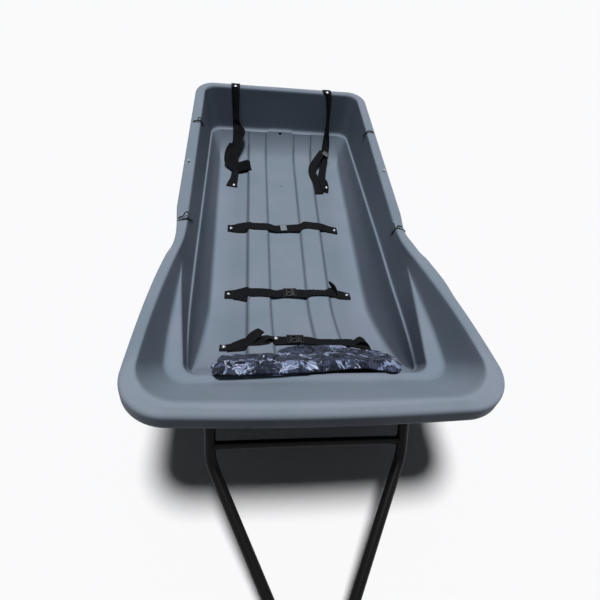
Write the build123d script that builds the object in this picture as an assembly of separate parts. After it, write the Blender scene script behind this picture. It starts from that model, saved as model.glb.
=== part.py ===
from build123d import *
import os
from dataclasses import dataclass
from math import atan2, cos, degrees, hypot, radians, sin

# Tow sled for a snowmobile: a formed plastic tub with a raised bow, webbing straps for the
# load, a pad on the bow floor and a hinged A-shaped drawbar.  Millimetres, +Z up, bow
# towards -Y, underside of the floor at Z = 0.  Stations run forward from the tail lip and
# heights are measured from the tub's inner floor.

# ---- hull: overall ----
HULL_LENGTH = 2005            # tail lip to bow lip
HULL_WIDTH = 985              # over the lips at the bow
TAIL_WIDTH = 934              # over the lips along the sides
SIDE_HEIGHT = 337             # inner edge of the rim along the sides
BOW_HEIGHT = 545              # inner edge of the rim at the bow
WALL = 5                      # sheet thickness
BOW_LENGTH = 777              # part of the hull in which the rim rises

# ---- hull: rim ----
RIM_WIDTH = 50
BOW_RIM_WIDTH = 38            # beside the bow
RIM_TAIL = 46                 # station of the rim's inner edge at the tail
RIM_TAIL_CORNER = 60          # plan radius of that edge's tail corners
RIM_BOW = 43                  # the same edge behind the bow lip
RIM_BOW_CORNER = 115
RIM_DROP = 12                 # outer edge of the rim lower than the inner edge
LIP_DEPTH = 46                # turned-down edge
LIP_FLARE = 4                 # how far the lip leans out
RIM_CORNER = 95               # plan radius of the rim's tail corners
BOW_CORNER = 128              # plan radius of the rim's bow corners
BOW_CROWN = 8                 # bulge of the bow edge
WAIST_PINCH = 33              # how far the rim's outer edge curves in at the waist

# ---- hull: walls, ledge, shelf and floor ----
FLOOR_HALF = 339
FLOOR_TAIL = 180              # station of the floor's tail edge
FLOOR_CORNER = 60
LEDGE_HALF = 388
LEDGE_TAIL_HALF = 392         # at the tail corners
LEDGE_TAIL = 92
LEDGE_TAIL_HEIGHT = 114
LEDGE_RISE = 0.097            # height gained per length
LEDGE_WIDTH = 6
LEDGE_CORNER = 73
SHELF_HEIGHT = 344            # height of the bow shelf at its tips
SHELF_RISE = 0.09
SHELF_HALF = 424              # outer edge of the shelf beside the bow corners
SHELF_INNER_HALF = 361
SHELF_BACK = 198              # inner edge of the shelf behind the bow lip
SHELF_WIDTH = 31              # across the bow
RIB_INNER = 81                # half width of the hollow between the two floor ribs
RIB_OUTER = 180
RIB_HEIGHT = 14
RIB_SETBACK = 8               # between the tail wall and the ribs
DRAIN = 12                    # hole in the tail wall
DRAIN_DEPTH = 18              # under the ledge, along the wall

# ---- webbing ----
WEB_WIDTH = 50
WEB_THICKNESS = 2.2
SEAT_GAP = 0.3                # clearance under what lies on the hull
STRAP_HALF = 262              # rivet to centre line
STRAP_STATIONS = {"tail": 777, "middle": 1200}
BOW_STRAP_BACK = 480          # bow strap behind the bow lip
STRAP_END = 16                # webbing past its rivet
TAIL_STRAP_X = 254
TAIL_STRAP_LENGTH = 250       # on the floor, from the tail wall to the lower rivet
RIVET_HEAD = 14
RIVET_HEAD_HEIGHT = 2
RIVET_SHANK = 5
RIVET_CLEARANCE = 0.1
BUCKLE_LENGTH = 62
BUCKLE_WIDTH = 60
BUCKLE_HEIGHT = 12

# ---- cord loops and studs on the rim ----
LOOP_STATIONS = (403, 1090)
LOOP_CORD = 4
LOOP_HOLE_INSET = 12          # hole for the cord, from the rim's inner edge
STUD_STATION = 736

# ---- pad ----
PAD_WIDTH = 530
PAD_THICKNESS = 42
PAD_ROUNDING = 14
PAD_REACH = 136               # pad behind the top of the bow floor, in plan

# ---- drawbar ----
HITCH_REACH = 610             # bow lip to the tip of the tow eye
TUBE = 32                     # outer diameter
TUBE_WALL = 2.5
CROSS_TUBE = 25
HINGE_HALF = 283              # hinge to centre line
HINGE_BACK = 143              # hinge axis behind the bow lip
HINGE_HEIGHT = 350
CROSS_DROP = 141              # hinge axis to cross tube, along the tube
ELBOW_DROP = 188              # hinge axis to elbow
ELBOW_ANGLE = 48              # slope of the tubes between hinge and elbow
ELBOW_RADIUS = 90
TUBE_SETBACK = 110            # tubes end behind the tip of the eye
NECK = 26                     # half spread of the tubes where they meet the tow plate
PIN = 12
PIN_CLEARANCE = 0.08          # radial
BUSH = 26                     # outer diameter of the bush welded to each tube
BUSH_LENGTH = 44
PIN_HEAD = 6
EAR_GAP = 1                   # between bush and bracket ear
SHEET = 4                     # bracket sheet
BRACKET_MARGIN = 3            # bracket plate short of the flat face's ends
BRACKET_INNER = 60            # bracket plate from the hinge towards the middle
BRACKET_OUTER = 30
BOLT = 6
BOLT_HEAD = 2
PLATE = 8                     # tow plate thickness
PLATE_LENGTH = 130
PLATE_WIDTH = 90
EYE_HOLE = 20
EYE_EDGE = 18                 # metal round the eye hole

KINK = HULL_LENGTH - BOW_LENGTH
TIP = KINK + 107              # station where the bow shelf starts on the side walls
SIDE_END = KINK - 168         # the side walls are straight up to here
TAIL_Y = (HULL_LENGTH + HITCH_REACH) / 2
HALF = HULL_WIDTH / 2 - LIP_FLARE
TAIL_HALF = TAIL_WIDTH / 2 - LIP_FLARE
RIM_HALF = TAIL_HALF - RIM_WIDTH
BOW_HALF = HALF - BOW_RIM_WIDTH
ARC_ARM = 0.5523              # control arm that makes a cubic follow a quarter circle

os.makedirs("parts", exist_ok=True)


def save(name, *solids):
    """Write one node; several solids on it don't touch."""
    shape = solids[0] if len(solids) == 1 else Compound(children=list(solids))
    export_step(shape, f"parts/{name}.step")


def place(point):
    """Model position of (half width, station, height)."""
    x, station, height = point
    return Vector(x, TAIL_Y - station, height + WALL)


def between(a, b, part):
    return tuple(p + (q - p) * part for p, q in zip(a, b))


def bow(distance):
    """Station of a point so far behind the bow lip."""
    return HULL_LENGTH - distance


def rise(part):
    """Height of the rim's inner edge after that part of its rise."""
    return SIDE_HEIGHT + (BOW_HEIGHT - SIDE_HEIGHT) * part


def ledge_height(station):
    return LEDGE_TAIL_HEIGHT + LEDGE_RISE * (station - LEDGE_TAIL)


def shelf_height(station):
    return SHELF_HEIGHT + SHELF_RISE * (station - TIP)


# ---- the lines that the hull is formed on ----
@dataclass
class Ring:
    """Right half of a line round the hull, as (half width, station, height) points."""

    tail: tuple               # end of the tail edge, start of the tail corner
    side: tuple               # end of the tail corner
    side_end: tuple           # end of the straight side
    waist: list               # two control points up to the shelf tip
    tip: tuple
    flare: list               # two control points up to the bow corner
    cheek: tuple              # start of the bow corner
    nose: tuple               # end of the bow corner
    crown: float = 0          # bulge of the bow edge

    def moved(self, out, back, ahead, down):
        """The same line for the other face of the sheet."""
        def shift(point, forward=0.0, sideways=1.0):
            x, station, height = point
            return (x + out * sideways, station + forward, height - down)
        return Ring(
            tail=shift(self.tail, -back, 0), side=shift(self.side), side_end=shift(self.side_end),
            waist=[shift(p) for p in self.waist], tip=shift(self.tip),
            flare=[shift(self.flare[0], ahead / 3), shift(self.flare[1], ahead * 2 / 3)],
            cheek=shift(self.cheek, ahead), nose=shift(self.nose, ahead, 0), crown=self.crown,
        )

    def curves(self):
        """Control points of each stretch, from the middle of the tail to the middle of the bow."""
        def corner(start, end):
            """Quarter turn between a point on a side and a point on an end."""
            side_arm = (start[0], start[1] + (end[1] - start[1]) * ARC_ARM,
                        start[2] + (end[2] - start[2]) * ARC_ARM)
            end_arm = (end[0] + (start[0] - end[0]) * ARC_ARM, end[1], end[2])
            return [start, side_arm, end_arm, end]
        middle = (0, self.nose[1] + self.crown, self.nose[2] + self.crown / 4)
        nose_arm = (self.nose[0] * 2 / 3, self.nose[1] + self.crown * 2 / 3,
                    self.nose[2] + self.crown / 6)
        middle_arm = (self.nose[0] / 3, middle[1], middle[2])
        return {
            "tail": [(0, *self.tail[1:]), self.tail],
            "tail_corner": corner(self.side, self.tail)[::-1],
            "side": [self.side, self.side_end],
            "waist": [self.side_end, *self.waist, self.tip],
            "flare": [self.tip, *self.flare, self.cheek],
            "bow_corner": corner(self.cheek, self.nose),
            "bow": [self.nose, nose_arm, middle_arm, middle],
        }


RIM_INNER = Ring(
    tail=(RIM_HALF - RIM_TAIL_CORNER, RIM_TAIL, SIDE_HEIGHT),
    side=(RIM_HALF, RIM_TAIL + RIM_TAIL_CORNER, SIDE_HEIGHT),
    side_end=(RIM_HALF, SIDE_END, SIDE_HEIGHT),
    waist=[(RIM_HALF - 1, SIDE_END + 70, SIDE_HEIGHT), (RIM_HALF - 10, SIDE_END + 170, rise(0.13))],
    tip=(RIM_HALF + 6, TIP, rise(0.284)),
    flare=[(BOW_HALF - 14, bow(505), rise(0.514)), (BOW_HALF - 2, bow(325), rise(0.784))],
    cheek=(BOW_HALF, bow(RIM_BOW + RIM_BOW_CORNER - 3), rise(0.94)),
    nose=(BOW_HALF - RIM_BOW_CORNER, bow(RIM_BOW), BOW_HEIGHT - 2),
    crown=BOW_CROWN,
)
RIM_OUTER = Ring(
    tail=(TAIL_HALF - RIM_CORNER, LIP_FLARE, SIDE_HEIGHT - RIM_DROP),
    side=(TAIL_HALF, LIP_FLARE + RIM_CORNER, SIDE_HEIGHT - RIM_DROP),
    side_end=(TAIL_HALF, SIDE_END - 40, SIDE_HEIGHT - RIM_DROP),
    waist=[(TAIL_HALF, SIDE_END + 50, SIDE_HEIGHT - RIM_DROP),
           (TAIL_HALF - WAIST_PINCH, SIDE_END + 135, rise(0) - 2)],
    tip=(TAIL_HALF + 5, TIP, rise(0.284) - RIM_DROP),
    flare=[(HALF - 8, bow(505), rise(0.5) - RIM_DROP), (HALF - 4, bow(315), rise(0.784) - RIM_DROP)],
    cheek=(HALF, bow(135), rise(0.94) - RIM_DROP),
    nose=(HALF - BOW_CORNER, bow(LIP_FLARE + BOW_CROWN), BOW_HEIGHT - 2 - RIM_DROP),
    crown=BOW_CROWN,
)
LIP = RIM_OUTER.moved(LIP_FLARE, LIP_FLARE, LIP_FLARE, LIP_DEPTH)
LEDGE_OUTER = Ring(
    tail=(LEDGE_TAIL_HALF - LEDGE_CORNER, LEDGE_TAIL, LEDGE_TAIL_HEIGHT),
    side=(LEDGE_TAIL_HALF, LEDGE_TAIL + LEDGE_CORNER, ledge_height(LEDGE_TAIL + LEDGE_CORNER)),
    side_end=(LEDGE_HALF, SIDE_END, ledge_height(SIDE_END)),
    waist=[(LEDGE_HALF, SIDE_END + 90, ledge_height(SIDE_END + 90)),
           (LEDGE_HALF, SIDE_END + 190, ledge_height(SIDE_END + 190) - 4)],
    tip=(LEDGE_HALF - 1, TIP, ledge_height(TIP) - 5),
    flare=[(LEDGE_HALF - 3, bow(525), ledge_height(bow(525)) + 1),
           (LEDGE_HALF - 12, bow(365), ledge_height(bow(365)) + 21)],
    cheek=(SHELF_INNER_HALF + 1, bow(275), shelf_height(bow(275)) - 73),
    nose=(SHELF_INNER_HALF - 42, bow(229), shelf_height(bow(229)) - 61),
)
LEDGE_INNER = Ring(
    tail=(LEDGE_OUTER.tail[0], LEDGE_TAIL + LEDGE_WIDTH, ledge_height(LEDGE_TAIL) - 1),
    side=(LEDGE_OUTER.side[0] - LEDGE_WIDTH, LEDGE_TAIL + LEDGE_CORNER, LEDGE_OUTER.side[2] - 1),
    side_end=(LEDGE_HALF - LEDGE_WIDTH, SIDE_END, LEDGE_OUTER.side_end[2] - 1),
    waist=[(x - LEDGE_WIDTH, station, height - 1) for x, station, height in LEDGE_OUTER.waist],
    tip=(LEDGE_OUTER.tip[0] - LEDGE_WIDTH, TIP, LEDGE_OUTER.tip[2] - 1),
    flare=[(x - LEDGE_WIDTH, station - 2, height - 3) for x, station, height in LEDGE_OUTER.flare],
    cheek=(LEDGE_OUTER.cheek[0] - 4, bow(283), LEDGE_OUTER.cheek[2] - 13),
    nose=(LEDGE_OUTER.nose[0] - 3, bow(238), LEDGE_OUTER.nose[2] - 13),
)
FLOOR = Ring(
    tail=(FLOOR_HALF - FLOOR_CORNER, FLOOR_TAIL, 0),
    side=(FLOOR_HALF, FLOOR_TAIL + FLOOR_CORNER, 0),
    side_end=(FLOOR_HALF, SIDE_END, 0),
    waist=[(FLOOR_HALF, SIDE_END + 120, 0), (FLOOR_HALF, TIP - 45, 2)],
    tip=(FLOOR_HALF + 1, TIP, 18),
    flare=[(FLOOR_HALF + 5, TIP + 125, 62), (FLOOR_HALF + 17, bow(375), 136)],
    cheek=(FLOOR_HALF + 14, bow(293), 236),
    nose=(FLOOR_HALF - 28, bow(248), 296),
)
SHELF_OUTER = [(RIM_HALF - 1, TIP + 145), (SHELF_HALF + 4, bow(365)), (SHELF_HALF, bow(245)),
               (SHELF_HALF - 78, bow(SHELF_BACK - SHELF_WIDTH))]
SHELF_INNER = [(RIM_HALF - 13, TIP + 135), (SHELF_INNER_HALF + 15, bow(365)),
               (SHELF_INNER_HALF, bow(SHELF_BACK + 45)), (SHELF_INNER_HALF - 42, bow(SHELF_BACK))]


# ---- hull ----
def edge(points):
    """Curve through placed control points; straight where there are two."""
    spots = [place(p) for p in points]
    return Edge.make_line(*spots) if len(spots) == 2 else Edge.make_bezier(*spots)


def ruled(a, b):
    return Face.make_surface_from_curves(edge(a), edge(b))


def flat(*stretches):
    return Face(Wire([edge(points) for points in stretches]))


def inward(points):
    """The same stretch moved onto the centre line."""
    return [(0, station, height) for _, station, height in points]


def skin(out, back, ahead, down):
    """Right half of one face of the sheet, from the floor up to the rim's inner edge."""
    floor = FLOOR.moved(out, back, ahead, down)
    inner_ledge = LEDGE_INNER.moved(out, back, ahead, down)
    ledge = LEDGE_OUTER.moved(out, back, ahead, down)
    rim = RIM_INNER.moved(out, back, ahead, down)
    lines = {name: ring.curves() for name, ring in
             (("floor", floor), ("inner", inner_ledge), ("ledge", ledge), ("rim", rim))}

    # the shelf's plane meets the side wall at the tip
    tip_height = shelf_height(TIP) - down
    part = (tip_height - ledge.tip[2]) / (rim.tip[2] - ledge.tip[2])
    crease = {name: [between(a, b, part) for a, b in zip(lines["ledge"][name], lines["rim"][name])]
              for name in ("tail", "tail_corner", "side", "waist")}
    tip = crease["waist"][-1]

    def shelf_line(plan):
        points = [(x + out * (1 if i < 3 else 0), station + ahead * min(i + 1, 3) / 3)
                  for i, (x, station) in enumerate(plan)]
        level = [(x, station, shelf_height(station) - down) for x, station in points]
        ring = Ring(tip, tip, tip, [tip, tip], tip, level[:2], level[2], level[3])
        return ring.curves()

    outer_shelf = shelf_line(SHELF_OUTER)
    inner_shelf = shelf_line(SHELF_INNER)
    bow_names = ("flare", "bow_corner", "bow")
    f = lines["floor"]
    faces = [
        flat(f["tail"], f["tail_corner"], f["side"], [f["side"][1], inward(f["side"])[1]],
             [inward(f["side"])[1], f["tail"][0]]),
        ruled(f["waist"], inward(f["waist"])),
        ruled(f["flare"], inward(f["flare"])),
        flat([inward(f["flare"])[-1], f["flare"][-1]], f["bow_corner"], f["bow"],
             [f["bow"][-1], inward(f["flare"])[-1]]),
        flat(outer_shelf["flare"], outer_shelf["bow_corner"], outer_shelf["bow"],
             [outer_shelf["bow"][-1], inner_shelf["bow"][-1]],
             inner_shelf["bow"], inner_shelf["bow_corner"], inner_shelf["flare"]),
    ]
    for name in f:
        faces.append(ruled(f[name], lines["inner"][name]))
        faces.append(ruled(lines["inner"][name], lines["ledge"][name]))
    for name in crease:
        faces.append(ruled(lines["ledge"][name], crease[name]))
        faces.append(ruled(crease[name], lines["rim"][name]))
    for name in bow_names:
        faces.append(ruled(lines["ledge"][name], inner_shelf[name]))
        faces.append(ruled(outer_shelf[name], lines["rim"][name]))
    return faces, lines["rim"]


def band(a, b):
    return [ruled(a[name], b[name]) for name in a]


def hull_sheet():
    """The formed sheet as one closed solid, made from its right half and the mirror image."""
    upper, upper_rim = skin(0, 0, 0, 0)
    lower, lower_rim = skin(WALL * 0.85, WALL * 0.75, WALL * 0.45, WALL)
    under_rim = RIM_OUTER.moved(-WALL, -WALL, -WALL, WALL).curves()
    under_lip = LIP.moved(-WALL, -WALL, -WALL, 0).curves()
    outer_rim = RIM_OUTER.curves()
    lip = LIP.curves()
    half = (upper + lower + band(upper_rim, outer_rim) + band(outer_rim, lip)
            + band(lip, under_lip) + band(under_lip, under_rim) + band(under_rim, lower_rim))
    whole = half + [face.mirror(Plane.YZ) for face in half]
    return Solid(Shell(whole))


def floor_line(lift):
    """Floor's centre line from the tail to the end of the bow floor, as stretches."""
    curves = FLOOR.curves()
    start = (0, FLOOR_TAIL + RIB_SETBACK, 0)
    stretches = [[start, (0, SIDE_END, 0)], inward(curves["waist"]), inward(curves["flare"])]
    return [[(x, station, height + lift) for x, station, height in points]
            for points in stretches]


def rib_prism(low, high, inner, outer):
    """Bar along the floor between two heights and two half widths, on both sides."""
    top = floor_line(high)
    bottom = floor_line(low)
    ends = [[bottom[0][0], top[0][0]], [bottom[-1][-1], top[-1][-1]]]
    side = flat(*top, *bottom, *ends)
    bar = Solid.extrude(side, Vector(outer - inner, 0, 0)).moved(Location((inner, 0, 0)))
    return [bar, bar.mirror(Plane.YZ)]


def at_station(points, station):
    """Point of a stretch where it passes a station."""
    low, high = 0.0, 1.0
    while high - low > 1e-9:
        middle = (low + high) / 2
        if bezier(points, middle)[1] < station:
            low = middle
        else:
            high = middle
    return bezier(points, low)


def bezier(points, t):
    while len(points) > 1:
        points = [between(a, b, t) for a, b in zip(points, points[1:])]
    return points[0]


# ---- webbing ----
def ribbon(path, width, thickness=WEB_THICKNESS):
    """Strip of webbing over a list of points in the local XZ plane, centred on it in Y."""
    normals = [Vector(-(b[1] - a[1]), b[0] - a[0]).normalized() for a, b in zip(path, path[1:])]
    over = []
    for i, (x, z) in enumerate(path):
        before = normals[max(i - 1, 0)]
        after = normals[min(i, len(normals) - 1)]
        both = (before + after).normalized()
        reach = thickness / both.dot(after)
        over.append((x + both.X * reach, z + both.Y * reach))
    outline = Polyline(*path, *over[::-1], close=True)
    face = Plane.XZ * make_face(outline)
    return Pos(0, width / 2, 0) * extrude(face, width)


def rivet(depth):
    """Rivet with its head's underside at the origin and its shank pointing down."""
    head = Pos(0, 0, RIVET_HEAD_HEIGHT / 2) * Cylinder(RIVET_HEAD / 2, RIVET_HEAD_HEIGHT)
    return head + Pos(0, 0, -depth / 2) * Cylinder(RIVET_SHANK / 2, depth)


def rivet_hole():
    return Cylinder(RIVET_SHANK / 2 + RIVET_CLEARANCE, 6 * WALL)


def buckle():
    """Ladder-lock buckle lying flat, two slots across it, origin under its middle."""
    body = Pos(0, 0, BUCKLE_HEIGHT / 2) * Box(BUCKLE_LENGTH, BUCKLE_WIDTH, BUCKLE_HEIGHT)
    body = fillet(body.edges().filter_by(Axis.Z), BUCKLE_HEIGHT / 2)
    slot = Box(BUCKLE_LENGTH / 5, BUCKLE_WIDTH - 2 * SHEET, 3 * BUCKLE_HEIGHT)
    return body - Pos(BUCKLE_LENGTH / 4, 0, 0) * slot - Pos(-BUCKLE_LENGTH / 4, 0, 0) * slot


def floor_plane(station):
    """Plane on the floor's centre line, X across, Z away from the floor."""
    curves = FLOOR.curves()
    stretch = inward(curves["waist"] if station < TIP else curves["flare"])
    if station <= SIDE_END:
        return Plane(place((0, station, 0)), x_dir=(1, 0, 0), z_dir=(0, 0, 1))
    spot = at_station(stretch, station)
    ahead = at_station(stretch, station + 1)
    slope = atan2(ahead[2] - spot[2], ahead[1] - spot[1])
    return Plane(place(spot), x_dir=(1, 0, 0), z_dir=(0, sin(slope), cos(slope)))


STRAP_REACH = STRAP_HALF + STRAP_END
CROSS_PATH = [(-STRAP_REACH, SEAT_GAP), (-RIB_OUTER - 30, SEAT_GAP),
              (-RIB_OUTER - 1, RIB_HEIGHT + SEAT_GAP), (-RIB_INNER, RIB_HEIGHT + SEAT_GAP)]
CROSS_PATH += [(-x, z) for x, z in CROSS_PATH[::-1]]
ALONG_HULL = Plane(origin=place((0, 0, 0)), x_dir=(0, -1, 0), z_dir=(-1, 0, 0))


def side_view(outline, start, width):
    """Solid with an outline of (station, height) points or a sketch, from half width start on."""
    sketch = make_face(Polyline(*outline, close=True)) if isinstance(outline, list) else outline
    return Pos(start, 0, 0) * extrude(ALONG_HULL * sketch, -width)


def build_hull():
    body = hull_sheet()
    for bar in rib_prism(-WALL / 2, RIB_HEIGHT, RIB_INNER, RIB_OUTER):
        body = body + bar
    for groove in rib_prism(-3 * WALL, RIB_HEIGHT - WALL, RIB_INNER + WALL, RIB_OUTER - WALL):
        body = body - groove
    return body


def drain_hole():
    high, low = inward([LEDGE_INNER.tail, FLOOR.tail])
    fall = high[2] - low[2]
    reach = low[1] - high[1]
    length = hypot(fall, reach)
    spot = between(high, low, DRAIN_DEPTH / length)
    return Plane(place(spot), z_dir=(0, -fall, reach)) * Cylinder(DRAIN / 2, 4 * WALL)


def rim_section(station):
    """Rim's inner edge, outer edge and lip edge as (half width, height) at a station."""
    points = []
    for ring in (RIM_INNER, RIM_OUTER, LIP):
        curves = ring.curves()
        stretch = curves["side"] if station <= ring.side_end[1] else curves["waist"]
        x, _, height = at_station(stretch, station)
        points.append((x, height))
    return points


# ---- straps across the floor, each with its buckle ----
def cross_straps():
    """Strap, buckle and rivets for each strap station, with the places of the rivets."""
    stations = dict(STRAP_STATIONS, bow=bow(BOW_STRAP_BACK))
    pieces = {}
    for name, station in stations.items():
        plane = floor_plane(station)
        spots = [plane * Pos(side * STRAP_HALF, 0, SEAT_GAP + WEB_THICKNESS) for side in (-1, 1)]
        strap = plane * ribbon(CROSS_PATH, WEB_WIDTH)
        lock = plane * Pos(0, 0, RIB_HEIGHT + SEAT_GAP + WEB_THICKNESS) * buckle()
        pieces[name] = (strap, lock, spots)
    return pieces


# ---- straps from the tail rim down to the floor ----
def tail_straps():
    """Both tail straps, each with the places of its rivets."""
    rim_edge = RIM_OUTER.tail
    wall_top = RIM_INNER.tail
    ledge_edge = LEDGE_INNER.tail
    slope = (wall_top[2] - rim_edge[2]) / (wall_top[1] - rim_edge[1])
    rim_rivet = wall_top[1] - RIVET_HEAD
    floor_rivet = FLOOR_TAIL + TAIL_STRAP_LENGTH
    turn = WEB_WIDTH / 2
    path = [(rim_edge[1] + WALL, rim_edge[2] + WALL * slope + SEAT_GAP),
            (wall_top[1] + SEAT_GAP, wall_top[2] + SEAT_GAP),
            (ledge_edge[1] + 2 * SEAT_GAP, ledge_edge[2] + SEAT_GAP),
            (FLOOR_TAIL + turn / 3, turn / 3), (FLOOR_TAIL + turn, SEAT_GAP),
            (floor_rivet + STRAP_END, SEAT_GAP)]
    tilt = atan2(slope, 1)
    pieces = {}
    for name, side in (("left", -1), ("right", 1)):
        x = side * TAIL_STRAP_X
        across = Plane(place((x, 0, 0)), x_dir=(0, -1, 0), z_dir=(0, 0, 1))
        rim_height = rim_edge[2] + (rim_rivet - rim_edge[1]) * slope
        on_rim = Plane(place((x, rim_rivet, rim_height)), x_dir=(1, 0, 0),
                       z_dir=(0, sin(tilt), cos(tilt)))
        spots = [on_rim * Pos(0, 0, SEAT_GAP * cos(tilt) + WEB_THICKNESS),
                 Location(place((x, floor_rivet, SEAT_GAP + WEB_THICKNESS)))]
        pieces[name] = (across * ribbon(path, WEB_WIDTH), spots)
    return pieces


# ---- cord loops and studs on the rim ----
def rim_loop(station):
    """Closed loop of cord round the right rim, and the hole it goes through."""
    inner, outer, lip = rim_section(station)
    away = LOOP_CORD / 2 + SEAT_GAP
    hole_x = inner[0] + LOOP_HOLE_INSET
    slope = (inner[1] - outer[1]) / (outer[0] - inner[0])
    rim_top = inner[1] - LOOP_HOLE_INSET * slope
    path = [(hole_x, rim_top + 1.6 * away), (outer[0] + away, outer[1] + 1.3 * away),
            (lip[0] + 1.1 * away, lip[1] - away), (lip[0] - WALL - away, lip[1] - away),
            (hole_x, rim_top - 2.5 * WALL)]
    plane = Plane(place((0, station, 0)), x_dir=(1, 0, 0), z_dir=(0, -1, 0))
    line = plane * FilletPolyline(*path, radius=away, close=True)
    wire = Wire(line.edges())
    section = Plane(origin=wire @ 0, z_dir=wire % 0) * Circle(LOOP_CORD / 2)
    hole = Location(place((hole_x, station, rim_top))) * Cylinder(LOOP_CORD * 0.75, 4 * WALL)
    return sweep(section, path=wire), hole


def rim_stud_place():
    inner, outer, _ = rim_section(STUD_STATION)
    tilt = atan2(inner[1] - outer[1], outer[0] - inner[0])
    middle = ((inner[0] + outer[0]) / 2, STUD_STATION, (inner[1] + outer[1]) / 2)
    return Plane(place(middle), x_dir=(cos(tilt), 0, -sin(tilt)), z_dir=(sin(tilt), 0, cos(tilt)))


# ---- pad on the bow floor ----
def pad():
    back_station = LEDGE_OUTER.nose[1] - PAD_REACH
    back = at_station(inward(FLOOR.curves()["flare"]), back_station)
    low = (back[1], back[2] + RIB_HEIGHT + 2 * SEAT_GAP)
    inner_shelf = (0, bow(SHELF_BACK), shelf_height(bow(SHELF_BACK)))
    top = between(LEDGE_OUTER.nose, inner_shelf, 0.7)
    high = (top[1] - 2 * SEAT_GAP, top[2] + SEAT_GAP)
    length = hypot(high[0] - low[0], high[1] - low[1])
    slope = degrees(atan2(high[1] - low[1], high[0] - low[0]))
    outline = Pos(length / 2, PAD_THICKNESS / 2) * Rectangle(length, PAD_THICKNESS)
    outline = fillet(outline.vertices().group_by(Axis.Y)[-1], PAD_ROUNDING)
    return side_view(Pos(*low) * Rot(0, 0, slope) * outline, -PAD_WIDTH / 2, PAD_WIDTH)


# ---- hinge brackets under the bow ----
UNDERSIDE = (WALL * 0.85, WALL * 0.75, WALL * 0.45, WALL)
HINGE = (bow(HINGE_BACK), HINGE_HEIGHT)


def bow_face():
    """Lower and upper end of the flat face under the bow, as (station, height)."""
    ledge = LEDGE_OUTER.moved(*UNDERSIDE).nose
    shelf_station = bow(SHELF_BACK) + UNDERSIDE[2]
    return Vector(ledge[1], ledge[2]), Vector(shelf_station, shelf_height(shelf_station) - WALL)


def bracket():
    """Right bracket: a plate on the bow's face and two ears that carry the pin."""
    low, high = bow_face()
    up = (high - low).normalized()
    out = Vector(up.Y, -up.X)
    foot = low + up * BRACKET_MARGIN
    head = high - up * BRACKET_MARGIN
    sheet = [foot, head, head + out * SHEET, foot + out * SHEET]
    body = side_view([(p.X, p.Y) for p in sheet], HINGE_HALF - BRACKET_INNER,
                     BRACKET_INNER + BRACKET_OUTER)
    base = Line(*[(p.X, p.Y) for p in (foot + up * SHEET + out, head - up * SHEET + out)])
    boss = Pos(*HINGE) * Circle(BUSH / 2 + SHEET)
    ear = make_hull(base.edges() + boss.edges())
    reach = BUSH_LENGTH / 2 + EAR_GAP
    for start in (HINGE_HALF - reach - SHEET, HINGE_HALF + reach):
        body = body + side_view(ear, start, SHEET)
    return body - pin_shape(PIN / 2 + PIN_CLEARANCE, 4 * BUSH_LENGTH)


def pin_shape(radius, length):
    """Round bar along the right hinge's axis."""
    centre = place((HINGE_HALF, *HINGE))
    return Plane(centre, z_dir=(1, 0, 0)) * Cylinder(radius, length)


def hinge_pin():
    """Pin through the right bracket, with a head outside and a nut inside."""
    grip = BUSH_LENGTH + 2 * (EAR_GAP + SHEET)
    plane = Plane(place((HINGE_HALF, *HINGE)), z_dir=(1, 0, 0))
    shank = Cylinder(PIN / 2, grip + PIN_HEAD)
    ends = [Pos(0, 0, side * (grip + PIN_HEAD) / 2) * Cylinder(0.8 * PIN, PIN_HEAD)
            for side in (-1, 1)]
    return plane * (shank + ends[0] + ends[1])


def bracket_bolts():
    """Places of the right bracket's bolts: on the hull's inner face, Z away from it."""
    low, high = bow_face()
    up = (high - low).normalized()
    places = []
    for along in (0.2, 0.55):
        spot = low + (high - low) * along
        for x in (HINGE_HALF - BRACKET_INNER + 12, HINGE_HALF - BUSH_LENGTH / 2 + 10):
            origin = place((x, spot.X, spot.Y))
            places.append(Plane(origin, x_dir=(1, 0, 0), z_dir=(0, up.Y, up.X)))
    return places


def bolt():
    """Flat-headed bolt and nut; the origin lies on the hull's outer face."""
    skin_depth = bow_skin()
    head = Pos(0, 0, skin_depth + BOLT_HEAD / 2) * Cylinder(BOLT * 1.25, BOLT_HEAD)
    grip = skin_depth + SHEET + BOLT
    shank = Pos(0, 0, skin_depth - grip / 2) * Cylinder(BOLT / 2, grip)
    nut = Pos(0, 0, -SHEET - BOLT / 2) * extrude(RegularPolygon(BOLT, 6), BOLT / 2, both=True)
    return head + shank + nut


def bow_skin():
    """Thickness of the sheet across the bow's face."""
    low, high = bow_face()
    up = (high - low).normalized()
    return UNDERSIDE[2] * up.Y + UNDERSIDE[3] * up.X


# ---- drawbar ----
def drawbar_path():
    """Hinge, elbow and front end of the right tube, with the tow plate's slope."""
    slope = radians(ELBOW_ANGLE)
    elbow = (HINGE[0] + ELBOW_DROP * cos(slope), HINGE[1] - ELBOW_DROP * sin(slope))
    tip = HULL_LENGTH + HITCH_REACH
    fall = 0
    for _ in range(6):
        middle = PLATE / 2 * cos(fall) - WALL
        fall = atan2(elbow[1] - middle, tip - PLATE / 2 * sin(fall) - elbow[0])
    back = TUBE_SETBACK
    end = (NECK, tip - back * cos(fall), middle + back * sin(fall))
    return (HINGE_HALF, *HINGE), (HINGE_HALF, *elbow), end, fall


def drawbar_tube(radius):
    """Right tube as a bar of some radius, from the hinge axis to the tow plate."""
    hinge, elbow, end, _ = drawbar_path()
    line = FilletPolyline(place(hinge), place(elbow), place(end), radius=ELBOW_RADIUS)
    wire = Wire(line.edges())
    return sweep(Plane(origin=wire @ 0, z_dir=wire % 0) * Circle(radius), path=wire)


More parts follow.
